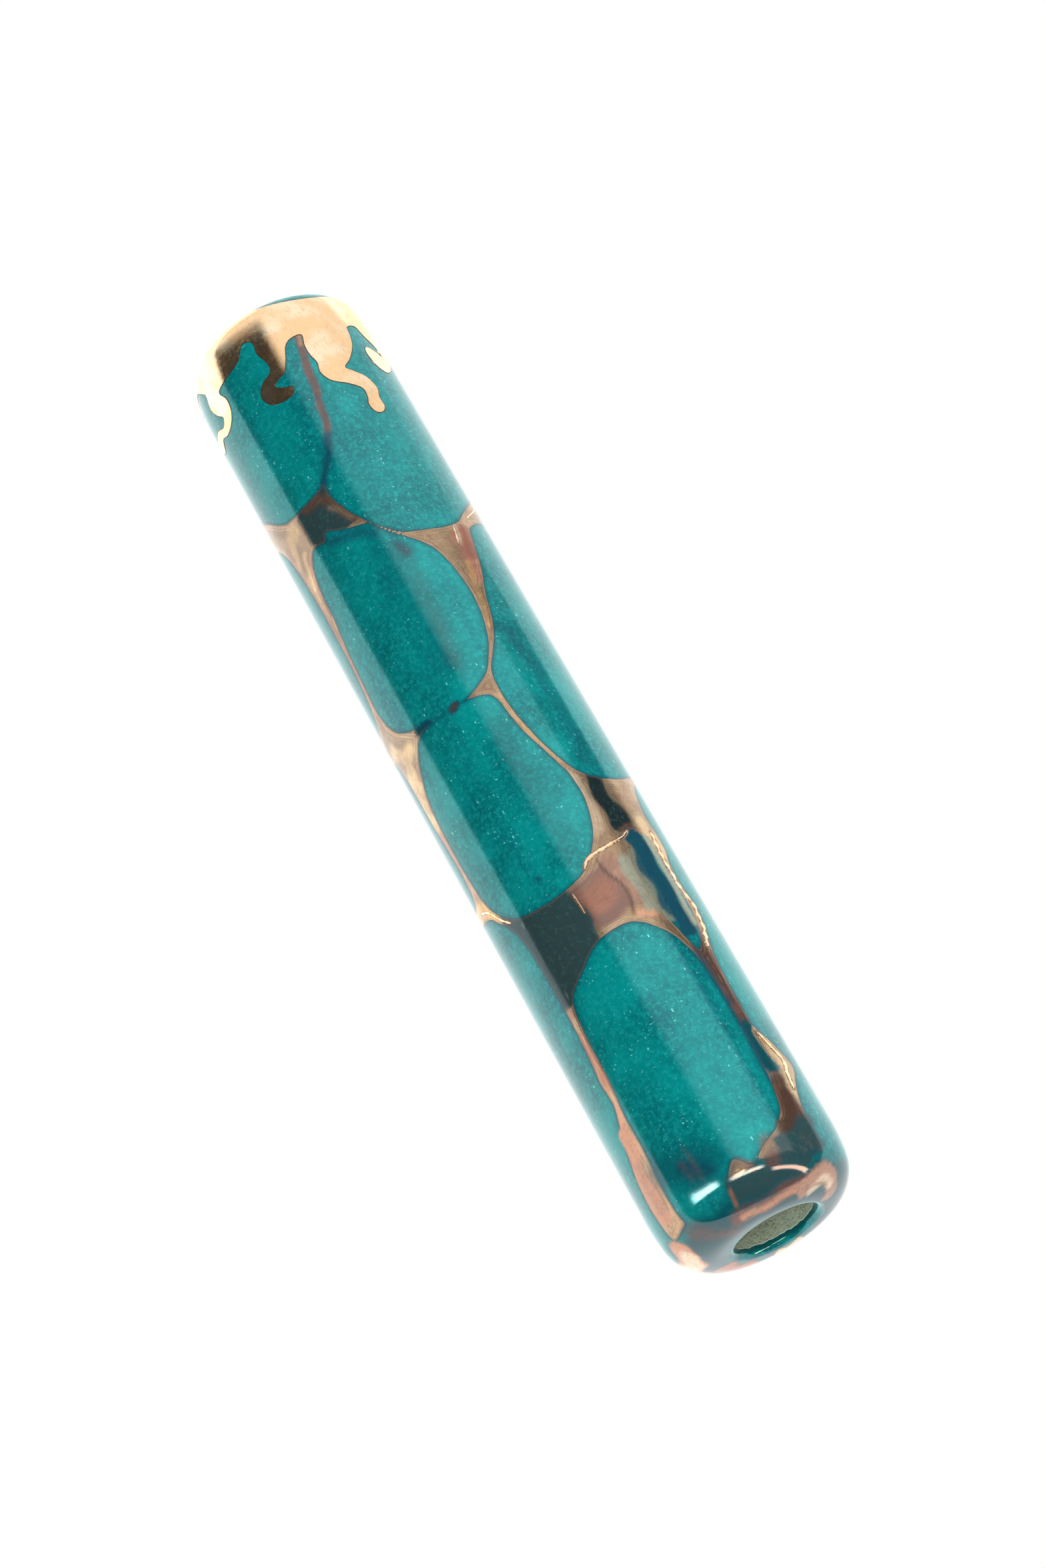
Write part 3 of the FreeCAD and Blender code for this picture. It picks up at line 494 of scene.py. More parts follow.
def new_piece(name, points, faces):
    """A mesh object from points in millimetres about the tube's axis at its lower end."""
    mesh = bpy.data.meshes.new(name)
    place = np.asarray(points, float) * MM + np.array(AXIS)
    mesh.from_pydata(place.tolist(), [], [list(map(int, face)) for face in faces])
    mesh.validate()
    mesh.polygons.foreach_set("use_smooth", [True] * len(mesh.polygons))
    piece = bpy.data.objects.new(name, mesh)
    bpy.context.scene.collection.objects.link(piece)
    return piece


# ---------------------------------------------------------------- pattern fields
def rounded(loop, closed=True, steps=5):
    """A smooth curve through the points, in millimetres on the unrolled surface."""
    points = np.array([(math.radians(degrees) * RADIUS, height) for degrees, height in loop])
    count = len(points)
    result = []
    for index in range(count if closed else count - 1):
        near = [index + step for step in (-1, 0, 1, 2)]
        near = [i % count if closed else min(max(i, 0), count - 1) for i in near]
        p0, p1, p2, p3 = points[near]
        for share in np.linspace(0, 1, steps, endpoint=False):
            a = 2 * p1
            b = (p2 - p0) * share
            c = (2 * p0 - 5 * p1 + 4 * p2 - p3) * share ** 2
            d = (-p0 + 3 * p1 - 3 * p2 + p3) * share ** 3
            result.append((a + b + c + d) / 2)
    if not closed:
        result.append(points[-1])
    return np.array(result)


def segment_distance(points, start, stop):
    step = stop - start
    share = ((points - start) @ step) / max(float(step @ step), 1e-12)
    nearest = start + np.clip(share, 0, 1)[:, None] * step
    return np.hypot(*(points - nearest).T)


def curve_distance(places, curve, closed, reach=4.0):
    """Distance in millimetres to a curve on the unrolled surface, negative inside a closed one."""
    middle = (curve[:, 0].min() + curve[:, 0].max()) / 2
    x = (places[:, 0] - middle + ROUND / 2) % ROUND - ROUND / 2 + middle
    points = np.stack([x, places[:, 1]], 1)
    result = np.full(len(points), FAR)
    low, high = curve.min(0) - reach, curve.max(0) + reach
    near = np.nonzero(((points > low) & (points < high)).all(1))[0]
    spots = points[near]
    distance = np.full(len(near), FAR)
    inside = np.zeros(len(near), bool)
    ends = np.roll(curve, -1, axis=0) if closed else curve[1:]
    for start, stop in zip(curve, ends):
        distance = np.minimum(distance, segment_distance(spots, start, stop))
        if closed and start[1] != stop[1]:
            crosses = (start[1] > spots[:, 1]) != (stop[1] > spots[:, 1])
            slope = (stop[0] - start[0]) / (stop[1] - start[1])
            inside ^= crosses & (spots[:, 0] < start[0] + (spots[:, 1] - start[1]) * slope)
    result[near] = np.where(inside, -distance, distance)
    return result


def back_gap(places, degrees, front):
    """Distance to the cells on the back, which fill what the front cells leave."""
    x, height = places.T
    waver = 0.9 * np.sin(height * 0.55 + degrees * 0.05)
    waver = waver + 0.5 * np.sin(height * 1.3 + degrees * 0.11)
    reach = []
    for turn, middle in BACK_SEEDS:
        beside = x - math.radians(turn) * RADIUS + waver * 0.35
        beside = (beside + ROUND / 2) % ROUND - ROUND / 2
        reach.append(np.hypot(beside, (height - middle + waver) * BACK_SQUASH))
    reach = np.sort(np.array(reach), axis=0)
    nearby = np.exp(-(reach[1:4] - reach[1]) / BACK_SOFTNESS).sum(0)
    second = -BACK_SOFTNESS * np.log(nearby) + reach[1]
    gap = BACK_VEIN - (second - reach[0]) / 2
    side = (BACK_FROM - np.abs(degrees)) * math.radians(1) * RADIUS
    return np.maximum(np.maximum(gap, BACK_CLEAR - front), side)


def set_attribute(piece, name, values):
    values = np.asarray(values, np.float32)
    kind, field = ("FLOAT", "value") if values.ndim == 1 else ("FLOAT_COLOR", "color")
    layer = piece.data.attributes.new(name, kind, "POINT")
    layer.data.foreach_set(field, values.ravel())


def brushed(places, strokes, base, bare=False):
    """Tone and cover left by strokes on a base tone, or on nothing, where bare is set."""
    x, height = places.T
    wander = 0.26 * np.sin(1.3 * height + 1.3) + 0.10 * np.sin(3.7 * x + 0.7)
    sway = 0.24 * np.sin(1.1 * x + 0.4) + 0.10 * np.sin(3.1 * height + 2.2)
    drift = np.stack([wander, sway], 1)
    tone = np.tile(np.array(FILM_TONES[base]), (len(places), 1))
    cover = np.zeros(len(places))
    for name, half_width, softness, strength, points in strokes:
        bent = places + drift * min(half_width, 1.0)
        reach = half_width + 2 * softness + 0.8
        distance = curve_distance(bent, rounded(points, False), False, reach)
        fade = smooth_step(distance, half_width - softness / 2, half_width + softness)
        share = strength * (1 - fade)
        blend = np.where((cover < 0.001) & (share > 0), 1.0, share) if bare else share
        tone += (np.array(FILM_TONES[name]) - tone) * blend[:, None]
        cover = cover + (1 - cover) * share
    return tone, cover


def pattern_fields(places):
    """Where the glaze cells, film tones, strokes and threads lie, for each place."""
    gap = np.full(len(places), FAR)
    for loop in CELLS.values():
        gap = np.minimum(gap, curve_distance(places, rounded(loop), True))
    degrees = np.degrees(places[:, 0] / RADIUS)
    gap = np.minimum(gap, back_gap(places, degrees, gap))
    gap = np.minimum(gap, TOP_POOL - places[:, 1])
    end_edge = 3.2 + 0.5 * np.sin(np.radians(3 * degrees + 40)) + 0.3 * np.sin(np.radians(7 * degrees))
    gap = np.minimum(gap, places[:, 1] - end_edge)
    film, _ = brushed(places, VEIN_STROKES, "tan")
    over, cover = brushed(places, OVER_STROKES, "navy", bare=True)
    thread = np.full(len(places), FAR)
    for half_width, _, points in THREADS:
        line = curve_distance(places, rounded(points, False), False, 2.0)
        thread = np.minimum(thread, line - half_width)
    return {"gap": gap, "film": film, "over": over, "cover": cover, "thread": thread}


# ---------------------------------------------------------------- shader helper
class Shader:
    """Nodes of one node tree, made and linked by short calls."""

    def __init__(self, tree):
        self.tree = tree
        self.tree.nodes.clear()

    def node(self, kind, inputs=(), **settings):
        made = self.tree.nodes.new(kind)
        for name, value in settings.items():
            setattr(made, name, value)
        for name, value in dict(inputs).items():
            self.feed(made.inputs[name], value)
        return made

    def feed(self, socket, value):
        if isinstance(value, bpy.types.NodeSocket):
            self.tree.links.new(value, socket)
        elif isinstance(value, bpy.types.Node):
            self.tree.links.new(value.outputs[0], socket)
        else:
            if socket.type == "RGBA" and len(value) == 3:
                value = (*value, 1.0)
            socket.default_value = value

    def math(self, operation, first, second=0.0, clamp=False):
        made = self.node("ShaderNodeMath", operation=operation, use_clamp=clamp)
        self.feed(made.inputs[0], first)
        self.feed(made.inputs[1], second)
        return made.outputs[0]

    def times(self, first, second, clamp=False):
        return self.math("MULTIPLY", first, second, clamp)

    def plus(self, first, second):
        return self.math("ADD", first, second)

    def minus(self, first, second):
        return self.math("SUBTRACT", first, second)

    def shaken(self, value, noise, size):
        """The value moved up and down by a noise, by size from end to end."""
        return self.plus(value, self.times(self.minus(noise, 0.5), size))

    def span(self, value, low, high, to_low=0.0, to_high=1.0, kind="SMOOTHSTEP"):
        made = self.node("ShaderNodeMapRange", interpolation_type=kind)
        self.feed(made.inputs["Value"], value)
        limits = {"From Min": low, "From Max": high, "To Min": to_low, "To Max": to_high}
        for name, number in limits.items():
            made.inputs[name].default_value = number
        return made.outputs["Result"]

    def mix(self, share, first, second, blend="MIX"):
        made = self.node("ShaderNodeMix", data_type="RGBA", blend_type=blend, clamp_factor=True)
        self.feed(made.inputs["Factor"], share)
        self.feed(made.inputs[6], first)
        self.feed(made.inputs[7], second)
        return made.outputs[2]

    def noise(self, vector, scale, detail=3.0, roughness=0.55, distortion=0.0):
        made = self.node("ShaderNodeTexNoise")
        self.feed(made.inputs["Vector"], vector)
        for name, number in (
            ("Scale", scale), ("Detail", detail), ("Roughness", roughness), ("Distortion", distortion),
        ):
            made.inputs[name].default_value = number
        return made.outputs[0]

    def cells(self, vector, scale, feature="F1", output="Distance", randomness=1.0):
        made = self.node("ShaderNodeTexVoronoi", feature=feature)
        self.feed(made.inputs["Vector"], vector)
        made.inputs["Scale"].default_value = scale
        made.inputs["Randomness"].default_value = randomness
        return made.outputs[output]

    def attribute(self, name, output="Fac"):
        return self.node("ShaderNodeAttribute", attribute_name=name).outputs[output]

    def place(self, stretch=(1.0, 1.0, 1.0), turn=(0.0, 0.0, 0.0)):
        """Place on the piece, in metres, stretched so that features come out longer one way."""
        where = self.node("ShaderNodeTexCoord").outputs["Object"]
        made = self.node("ShaderNodeMapping", {"Vector": where})
        made.inputs["Scale"].default_value = stretch
        made.inputs["Rotation"].default_value = turn
        return made.outputs[0]

    def bump(self, height, strength, distance, normal=None):
        made = self.node("ShaderNodeBump", {"Height": height, "Strength": strength, "Distance": distance})
        if normal is not None:
            self.feed(made.inputs["Normal"], normal)
        return made.outputs[0]


def new_material(name, build, **sockets):
    """A material whose Principled shader gets fixed sockets here and textures from build."""
    material = bpy.data.materials.new(name)
    material.use_nodes = True
    shader = Shader(material.node_tree)
    surface = shader.node("ShaderNodeBsdfPrincipled")
    output = shader.node("ShaderNodeOutputMaterial")
    material.node_tree.links.new(surface.outputs[0], output.inputs["Surface"])
    for socket, value in sockets.items():
        shader.feed(surface.inputs[socket.replace("_", " ")], value)
    build(shader, surface)
    return material


# ---------------------------------------------------------------- materials
def clay_colour(shader):
    """Bare grey-green stoneware with dark specks, and its relief."""
    where = shader.place()
    cloud = shader.noise(where, 900, 5, 0.65)
    base = shader.mix(cloud, (0.14, 0.19, 0.13), (0.37, 0.43, 0.33))
    grit = shader.cells(where, 2600)
    base = shader.mix(shader.span(grit, 0.12, 0.30, 0.75, 0.0), base, (0.05, 0.06, 0.04))
    rust = shader.span(shader.noise(where, 420, 2), 0.60, 0.72)
    base = shader.mix(shader.times(rust, 0.35), base, (0.30, 0.17, 0.11))
    relief = shader.plus(cloud, shader.times(grit, 0.8))
    return base, relief


FLAKE_METAL = 0.30


def teal_glass(shader, where, gap):
    """Clouded teal glass with fine glittering flecks and a darker rim."""
    cloud = shader.noise(where, 150, 4, 0.6)
    teal = shader.mix(shader.span(cloud, 0.32, 0.70), (0.000, 0.125, 0.134), (0.000, 0.225, 0.222))
    brushing = shader.noise(shader.place((1.0, 1.0, 0.10)), 420, 3)
    teal = shader.mix(shader.span(brushing, 0.45, 0.72, 0.0, 0.60), teal, (0.000, 0.095, 0.122))
    fine = shader.noise(where, 1900, 4, 0.75)
    teal = shader.mix(shader.span(fine, 0.42, 0.70, 0.0, 0.70), teal, (0.006, 0.300, 0.285))
    patch = shader.span(shader.noise(where, 260, 2), 0.40, 0.62, 0.25, 1.0)
    for stretch, turn, size, reach in (
        ((1.0, 1.0, 0.40), (0.5, 0.3, 0.6), 1500, 0.17),
        ((0.45, 0.45, 1.0), (0.2, 0.9, 0.1), 1900, 0.16),
        ((1.0, 1.0, 1.0), (0.0, 0.0, 0.0), 2600, 0.20),
    ):
        speck = shader.cells(shader.place(stretch, turn), size)
        speck = shader.times(shader.span(speck, reach * 0.5, reach, 1.0, 0.0), patch)
        chosen = shader.span(shader.noise(where, size * 1.7, 1), 0.50, 0.60)
        speck = shader.times(shader.times(speck, chosen), 0.85)
        teal = shader.mix(speck, teal, (0.18, 0.64, 0.60))
    rim = shader.span(gap, -0.60, -0.02, 0.0, 0.55)
    return shader.mix(rim, teal, (0.000, 0.060, 0.084))


def glaze_material():
    def build(shader, surface):
        where = shader.place()
        gap = shader.shaken(shader.attribute("gap"), shader.noise(where, 700, 3), 0.16)
        teal = teal_glass(shader, where, gap)
        # film between the cells: streaks that follow the veins, redder towards the glass
        film = shader.node("ShaderNodeAttribute", attribute_name="film")
        drift = shader.noise(where, 260, 2)
        across = shader.plus(shader.times(gap, 5.5), shader.times(drift, 7.0))
        along = shader.times(shader.noise(where, 90, 1), 2.5)
        streak = shader.node("ShaderNodeCombineXYZ", {"X": across, "Y": along})
        flow = shader.noise(streak.outputs[0], 1.0, 4, 0.6)
        narrow = shader.span(gap, 0.35, 1.30, 1.0, 0.15)
        lit = shader.times(shader.span(flow, 0.44, 0.62, 0.0, 0.42), narrow)
        film_colour = shader.mix(lit, film.outputs["Color"], (0.74, 0.55, 0.34))
        shade = shader.times(shader.span(flow, 0.42, 0.30, 0.0, 0.55), narrow)
        film_colour = shader.mix(shade, film_colour, (0.17, 0.075, 0.045))
        blotch = shader.span(shader.noise(where, 420, 4, 0.65), 0.40, 0.62, 0.0, 0.62)
        film_colour = shader.mix(blotch, film_colour, shader.mix(0.5, film_colour, (0.10, 0.055, 0.045)))
        dim = shader.span(film.outputs["Alpha"], 0.2, 0.6)
        fine = shader.noise(where, 1700, 4, 0.8)
        speckle = shader.span(fine, 0.50, 0.78, 0.0, 0.55)
        deep_film = shader.mix(speckle, film.outputs["Color"], (0.050, 0.150, 0.155))
        film_colour = shader.mix(dim, deep_film, film_colour)
        grain = shader.noise(where, 2600, 3, 0.7)
        dust = shader.span(grain, 0.55, 0.75, 0.0, 0.30)
        film_colour = shader.mix(dust, film_colour, (0.10, 0.045, 0.030))
        edge = shader.times(shader.span(gap, -0.04, 0.02), shader.span(gap, 0.05, 0.26, 1.0, 0.0))
        film_colour = shader.mix(shader.times(edge, 0.40), film_colour, (0.12, 0.050, 0.032))
        vein = shader.span(gap, -0.03, 0.03)
        colour = shader.mix(vein, teal, film_colour)
        metal = shader.math("MAXIMUM", shader.times(vein, film.outputs["Alpha"]), FLAKE_METAL)
        metal = shader.times(metal, shader.minus(1.0, shader.times(edge, 0.55)))
        line = shader.times(shader.span(gap, -0.16, -0.05), shader.span(gap, -0.03, 0.02, 1.0, 0.0))
        colour = shader.mix(shader.times(line, 0.6), colour, (0.020, 0.035, 0.045))
        # strokes over both, with ragged grain at their soft edges
        cover = shader.attribute("cover")
        ragged = shader.span(shader.shaken(cover, fine, 0.55), 0.05, 0.95, kind="LINEAR")
        cover = shader.times(shader.span(cover, 0.02, 0.15), ragged, clamp=True)
        over = shader.node("ShaderNodeAttribute", attribute_name="over")
        mottle = shader.span(shader.noise(where, 520, 4, 0.7), 0.38, 0.66, 0.0, 0.45)
        over_colour = shader.mix(mottle, over.outputs["Color"], (0.003, 0.050, 0.062))
        shiny = shader.times(shader.span(over.outputs["Alpha"], 0.2, 0.4), 0.9)
        over_colour = shader.mix(shiny, over_colour, over.outputs["Color"])
        greyer = shader.span(over.outputs["Alpha"], 0.05, 0.2)
        grit = shader.mix(greyer, (0.001, 0.030, 0.040), (0.030, 0.030, 0.032))
        over_colour = shader.mix(shader.span(grain, 0.45, 0.75, 0.0, 0.35), over_colour, grit)
        colour = shader.mix(cover, colour, over_colour)
        metal = shader.times(metal, shader.minus(1.0, cover))
        metal = shader.plus(metal, shader.times(over.outputs["Alpha"], cover))
        thread = shader.attribute("thread")
        halo = shader.span(thread, 0.02, 0.14, 1.0, 0.0)
        colour = shader.mix(shader.times(halo, 0.7), colour, (0.20, 0.09, 0.05))
        # painted shade on the glaze further into the bore, then the broken edge of the glaze in the mouth,
        # then bare clay
        chip = shader.shaken(shader.attribute("chip"), shader.noise(where, 3000, 2), 0.10)
        clay, relief = clay_colour(shader)
        # painted shade: the glaze turns dark teal the further it reaches into the bore
        deep = shader.span(chip, -0.80, -0.40)
        colour = shader.mix(shader.times(deep, 0.9), colour, (0.000, 0.050, 0.055))
        pale = shader.times(shader.span(chip, -0.12, -0.06), shader.span(chip, -0.01, 0.05, 1.0, 0.0))
        colour = shader.mix(pale, colour, (0.50, 0.62, 0.54))
        bare = shader.span(chip, -0.01, 0.04)
        colour = shader.mix(bare, colour, clay)
        metal = shader.times(metal, shader.span(chip, -0.60, -0.40, 1.0, 0.0))
        rough = shader.plus(0.06, shader.times(metal, shader.span(flow, 0.3, 0.7, 0.06, 0.20)))
        rough = shader.math("MAXIMUM", rough, shader.times(bare, 0.9))
        shader.feed(surface.inputs["Base Color"], colour)
        shader.feed(surface.inputs["Metallic"], metal)
        shader.feed(surface.inputs["Roughness"], rough)
        ripple = shader.noise(where, 160, 1)
        normal = shader.bump(ripple, 0.08, 0.0004)
        normal = shader.bump(shader.times(shader.plus(flow, grain), metal), 0.22, 0.00006, normal)
        normal = shader.bump(shader.times(relief, bare), 0.9, 0.00012, normal)
        shader.feed(surface.inputs["Normal"], normal)

    return new_material("teal_glaze_detail", build, IOR=1.56)


def gold_material():
    def build(shader, surface):
        where = shader.place()
        grain = shader.noise(where, 2400, 4, 0.75)
        hair = shader.noise(shader.place((1.0, 1.0, 0.45), (0.3, 0.5, 0.2)), 3200, 3, 0.7)
        cloud = shader.noise(where, 240, 3)
        colour = shader.mix(shader.span(cloud, 0.40, 0.64), (0.98, 0.66, 0.37), (1.0, 0.82, 0.57))
        colour = shader.mix(shader.span(hair, 0.52, 0.66, 0.0, 0.50), colour, (0.88, 0.50, 0.26))
        rim = shader.attribute("rim")
        colour = shader.mix(rim, colour, (0.060, 0.036, 0.026))
        shader.feed(surface.inputs["Base Color"], colour)
        shader.feed(surface.inputs["Metallic"], shader.minus(1.0, shader.times(rim, 0.7)))
        shader.feed(surface.inputs["Roughness"], shader.span(grain, 0.3, 0.8, 0.10, 0.22))
        normal = shader.bump(cloud, 0.06, 0.0003)
        normal = shader.bump(grain, 0.14, 0.00004, normal)
        shader.feed(surface.inputs["Normal"], normal)

    return new_material("gold_lustre_detail", build)


def clay_material():
    def build(shader, surface):
        colour, relief = clay_colour(shader)
        shader.feed(surface.inputs["Base Color"], colour)
        shader.feed(surface.inputs["Normal"], shader.bump(relief, 0.9, 0.00012))

    return new_material("fired_clay_detail", build, Roughness=0.9)


def parchment_material():
    def build(shader, surface):
        where = shader.place()
        cloud = shader.noise(where, 160, 4)
        colour = shader.mix(shader.span(cloud, 0.3, 0.7), (0.72, 0.60, 0.40), (0.86, 0.77, 0.58))
        fibre = shader.noise(shader.place((1.0, 1.0, 0.08)), 2600, 3)
        colour = shader.mix(shader.span(fibre, 0.5, 0.8, 0.0, 0.35), colour, (0.60, 0.46, 0.28))
        pores = shader.cells(where, 3200)
        shader.feed(surface.inputs["Base Color"], colour)
        shader.feed(surface.inputs["Roughness"], shader.span(cloud, 0.3, 0.7, 0.55, 0.72))
        normal = shader.bump(fibre, 0.35, 0.00004)
        shader.feed(surface.inputs["Normal"], shader.bump(pores, 0.20, 0.00003, normal))

    return new_material("parchment_detail", build)


def film_material():
    def build(shader, surface):
        where = shader.place()
        crease = shader.noise(shader.place((1.0, 1.0, 0.2)), 300, 3)
        shader.feed(surface.inputs["Roughness"], shader.span(crease, 0.3, 0.8, 0.03, 0.12))
        shader.feed(surface.inputs["Normal"], shader.bump(shader.noise(where, 240, 2), 0.15, 0.0002))

    clear = {"Base_Color": (0.96, 0.98, 1.0), "Transmission_Weight": 1.0, "IOR": 1.45}
    return new_material("clear_film_detail", build, **clear)


def cork_material():
    def build(shader, surface):
        where = shader.place()
        grain = shader.noise(where, 1100, 5, 0.65)
        colour = shader.mix(shader.span(grain, 0.3, 0.7), (0.38, 0.21, 0.10), (0.66, 0.44, 0.24))
        cork_cells = shader.cells(where, 1300)
        colour = shader.mix(shader.span(cork_cells, 0.05, 0.35, 0.30, 0.0), colour, (0.22, 0.11, 0.05))
        pit = shader.span(shader.noise(shader.place((1.0, 1.0, 0.4)), 480, 2), 0.62, 0.70)
        colour = shader.mix(pit, colour, (0.12, 0.06, 0.03))
        shader.feed(surface.inputs["Base Color"], colour)
        relief = shader.minus(shader.times(grain, 0.5), pit)
        shader.feed(surface.inputs["Normal"], shader.bump(relief, 0.7, 0.00012))

    return new_material("cork_detail", build, Roughness=0.85)


def foam_material():
    def build(shader, surface):
        where = shader.place()
        bubble = shader.cells(where, 2400)
        cloud = shader.noise(where, 180, 3)
        colour = shader.mix(shader.span(cloud, 0.3, 0.7), (0.50, 0.49, 0.46), (0.60, 0.60, 0.57))
        colour = shader.mix(shader.span(bubble, 0.05, 0.30, 0.45, 0.0), colour, (0.36, 0.35, 0.32))
        shader.feed(surface.inputs["Base Color"], colour)
        shader.feed(surface.inputs["Roughness"], shader.span(cloud, 0.3, 0.7, 0.45, 0.65))
        shader.feed(surface.inputs["Normal"], shader.bump(bubble, 0.5, 0.00008))

    return new_material("foam_tape_detail", build)


def floor_material():
    def build(shader, surface):
        where = shader.place()
        colour = shader.mix(shader.noise(where, 40, 3), (0.78, 0.78, 0.77), (0.82, 0.82, 0.81))
        shader.feed(surface.inputs["Base Color"], colour)

    return new_material("pale_floor", build, Roughness=0.8)


# ---------------------------------------------------------------- pieces
def make_glaze(material):
    """The glaze as one closed skin, with its pattern on the outer vertices."""
    outer, inner = glaze_rings(), back_rings()
    points = np.concatenate(outer.points + inner.points)
    rings = len(outer.points) + len(inner.points)
    piece = new_piece("glaze_skin", points, ring_faces(rings))
    own = np.concatenate(outer.points)
    degrees_x = np.arctan2(own[:, 0], -own[:, 1]) * RADIUS
    places = np.stack([degrees_x, np.concatenate(outer.height)], 1)
    hidden = len(points) - len(own)
    places = np.concatenate([places, np.tile(NOWHERE, (hidden, 1))])
    for name, values in pattern_fields(places).items():
        set_attribute(piece, name, values)
    set_attribute(piece, "chip", np.concatenate(outer.chip + [np.full(hidden, -FAR)]))
    piece.data.materials.append(material)
    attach(piece, "case")
    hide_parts("glaze_coat")
    return piece


def upper_profile():
    """Length along the surface from the upright wall over the end, with radius and height there."""
    wall = LENGTH - UPPER_END[2]
    outline = [(RADIUS, 0.0), (RADIUS, wall)]
    over = end_arcs(UPPER_END, 0.0, (40, 20))[::-1][1:]
    outline += [(radius, LENGTH - depth) for radius, depth in over] + [(0.0, LENGTH)]
    return lengths(outline), *np.array(outline).T


def make_threads(material):
    """Low rounded ridges of gold laid on the glaze."""
    points, faces = [], []
    section = np.linspace(0, 2 * math.pi, THREAD_SIDES, endpoint=False)
    for half_width, swell, line in THREADS:
        curve = rounded(line, False, THREAD_STEPS)
        step = np.gradient(curve, axis=0)
        side = np.stack([-step[:, 1], step[:, 0]], 1) / np.hypot(*step.T)[:, None]
        length = lengths(curve)
        taper = np.sqrt(np.clip(np.minimum(length, length[-1] - length) / THREAD_TAPER, 0.02, 1))
        width = half_width * taper * (1 + swell * np.sin(length * 4.6) + 0.12 * np.sin(length * 11.3))
        first = len(points)
        for place, across, half in zip(curve, side, width):
            for angle in section:
                spot = place + across * half * math.cos(angle)
                radius = RADIUS - THREAD_SINK + THREAD_RISE * math.sin(angle)
                turn = spot[0] / RADIUS
                points.append((radius * math.sin(turn), -radius * math.cos(turn), spot[1]))
        sides = len(section)
        for ring in range(len(curve) - 1):
            for index in range(sides):
                low, beside = first + ring * sides + index, first + ring * sides + (index + 1) % sides
                faces.append((low, beside, beside + sides, low + sides))
        faces.append(tuple(first + index for index in reversed(range(sides))))
        faces.append(tuple(len(points) - sides + index for index in range(sides)))
    piece = new_piece("gold_threads", points, faces)
    set_attribute(piece, "rim", np.zeros(len(points)))
    piece.data.materials.append(material)
    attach(piece, "case")
    return piece


def on_upper(x, along, lift):
    """Point of the wall or the rounded upper end, a little above the surface."""
    length, *profile = upper_profile()
    step = 0.01
    radius, height = (np.interp(along, length, line) for line in profile)
    slope_r, slope_z = (
        np.interp(along + step, length, line) - np.interp(along - step, length, line)
        for line in profile
    )
    size = np.hypot(slope_r, slope_z)
    radius = radius + lift * slope_z / size
    height = height - lift * slope_r / size
    angle = x / RADIUS
    return np.stack([radius * np.sin(angle), -radius * np.cos(angle), height], 1)


def gold_curve():
    """The gold's lower edge, once round the case."""
    loop = [(degrees, LENGTH - drop) for degrees, drop in GOLD_EDGE]
    before = (loop[-1][0] - 360, loop[-1][1])
    after = (loop[0][0] + 360, loop[0][1])
    return rounded([before, *loop, after], False, GOLD_STEPS)[GOLD_STEPS:-1]


def brim_curve(x):
    """Height along the surface of the gold's upper edge at each place round the case."""
    before = [(degrees - 360, along) for degrees, along in GOLD_BRIM[-2:]]
    after = [(degrees + 360, along) for degrees, along in GOLD_BRIM[:12]]
    brim = rounded([*before, *GOLD_BRIM, *after], False, 8)
    return np.interp(x, brim[:, 0], brim[:, 1])


def gold_grid(seam):
    """Rows of points over the gold, each half a pitch off the one below it."""
    grid = []
    for row, height in enumerate(np.arange(LENGTH - GOLD_DROP, GOLD_TOP, GOLD_PITCH * 0.87)):
        start = seam + GOLD_PITCH / 2 + (row % 2) * GOLD_PITCH / 2
        for spot in np.arange(start, seam + ROUND - GOLD_PITCH / 3, GOLD_PITCH):
            grid.append((spot, height))
    return np.array(grid)


def gold_sheet():
    """Flat triangles of the gold between its drip edge and its brim, on the unrolled surface."""
    lower = gold_curve()
    seam = lower[0, 0]
    x = np.linspace(seam, seam + ROUND, SEGMENTS + 1)
    upper = np.stack([x, brim_curve(x)], 1)
    upper[-1, 1] = upper[0, 1]
    low_end = np.array([seam + ROUND, lower[0, 1]])
    sides = np.linspace(lower[0, 1], upper[0, 1], GOLD_SEAM)[1:-1]
    right = np.stack([np.full(len(sides), seam + ROUND), sides], 1)
    left = np.stack([np.full(len(sides), seam), sides[::-1]], 1)
    outline = np.concatenate([lower, [low_end], right, upper[::-1], left])
    grid = gold_grid(seam)
    far = np.full(len(grid), FAR)
    for start, stop in zip(outline, np.roll(outline, -1, axis=0)):
        far = np.minimum(far, segment_distance(grid, start, stop))
    spots = [Vector(point) for point in (*outline, *grid[far > GOLD_CLEAR])]
    count = len(outline)
    edges = [(index, (index + 1) % count) for index in range(count)]
    made = delaunay_2d_cdt(spots, edges, [list(range(count))], 1, 1e-6)
    flat = np.array([tuple(point) for point in made[0]])
    faces = np.array([list(face) for face in made[2]])
    twin = np.arange(len(flat))
    for index in np.nonzero(np.abs(flat[:, 0] - seam - ROUND) < 1e-4)[0]:
        match = (np.abs(flat[:, 0] - seam) < 1e-4) & (np.abs(flat[:, 1] - flat[index, 1]) < 1e-3)
        twin[index] = np.nonzero(match)[0][0]
    return flat, twin[faces], lower


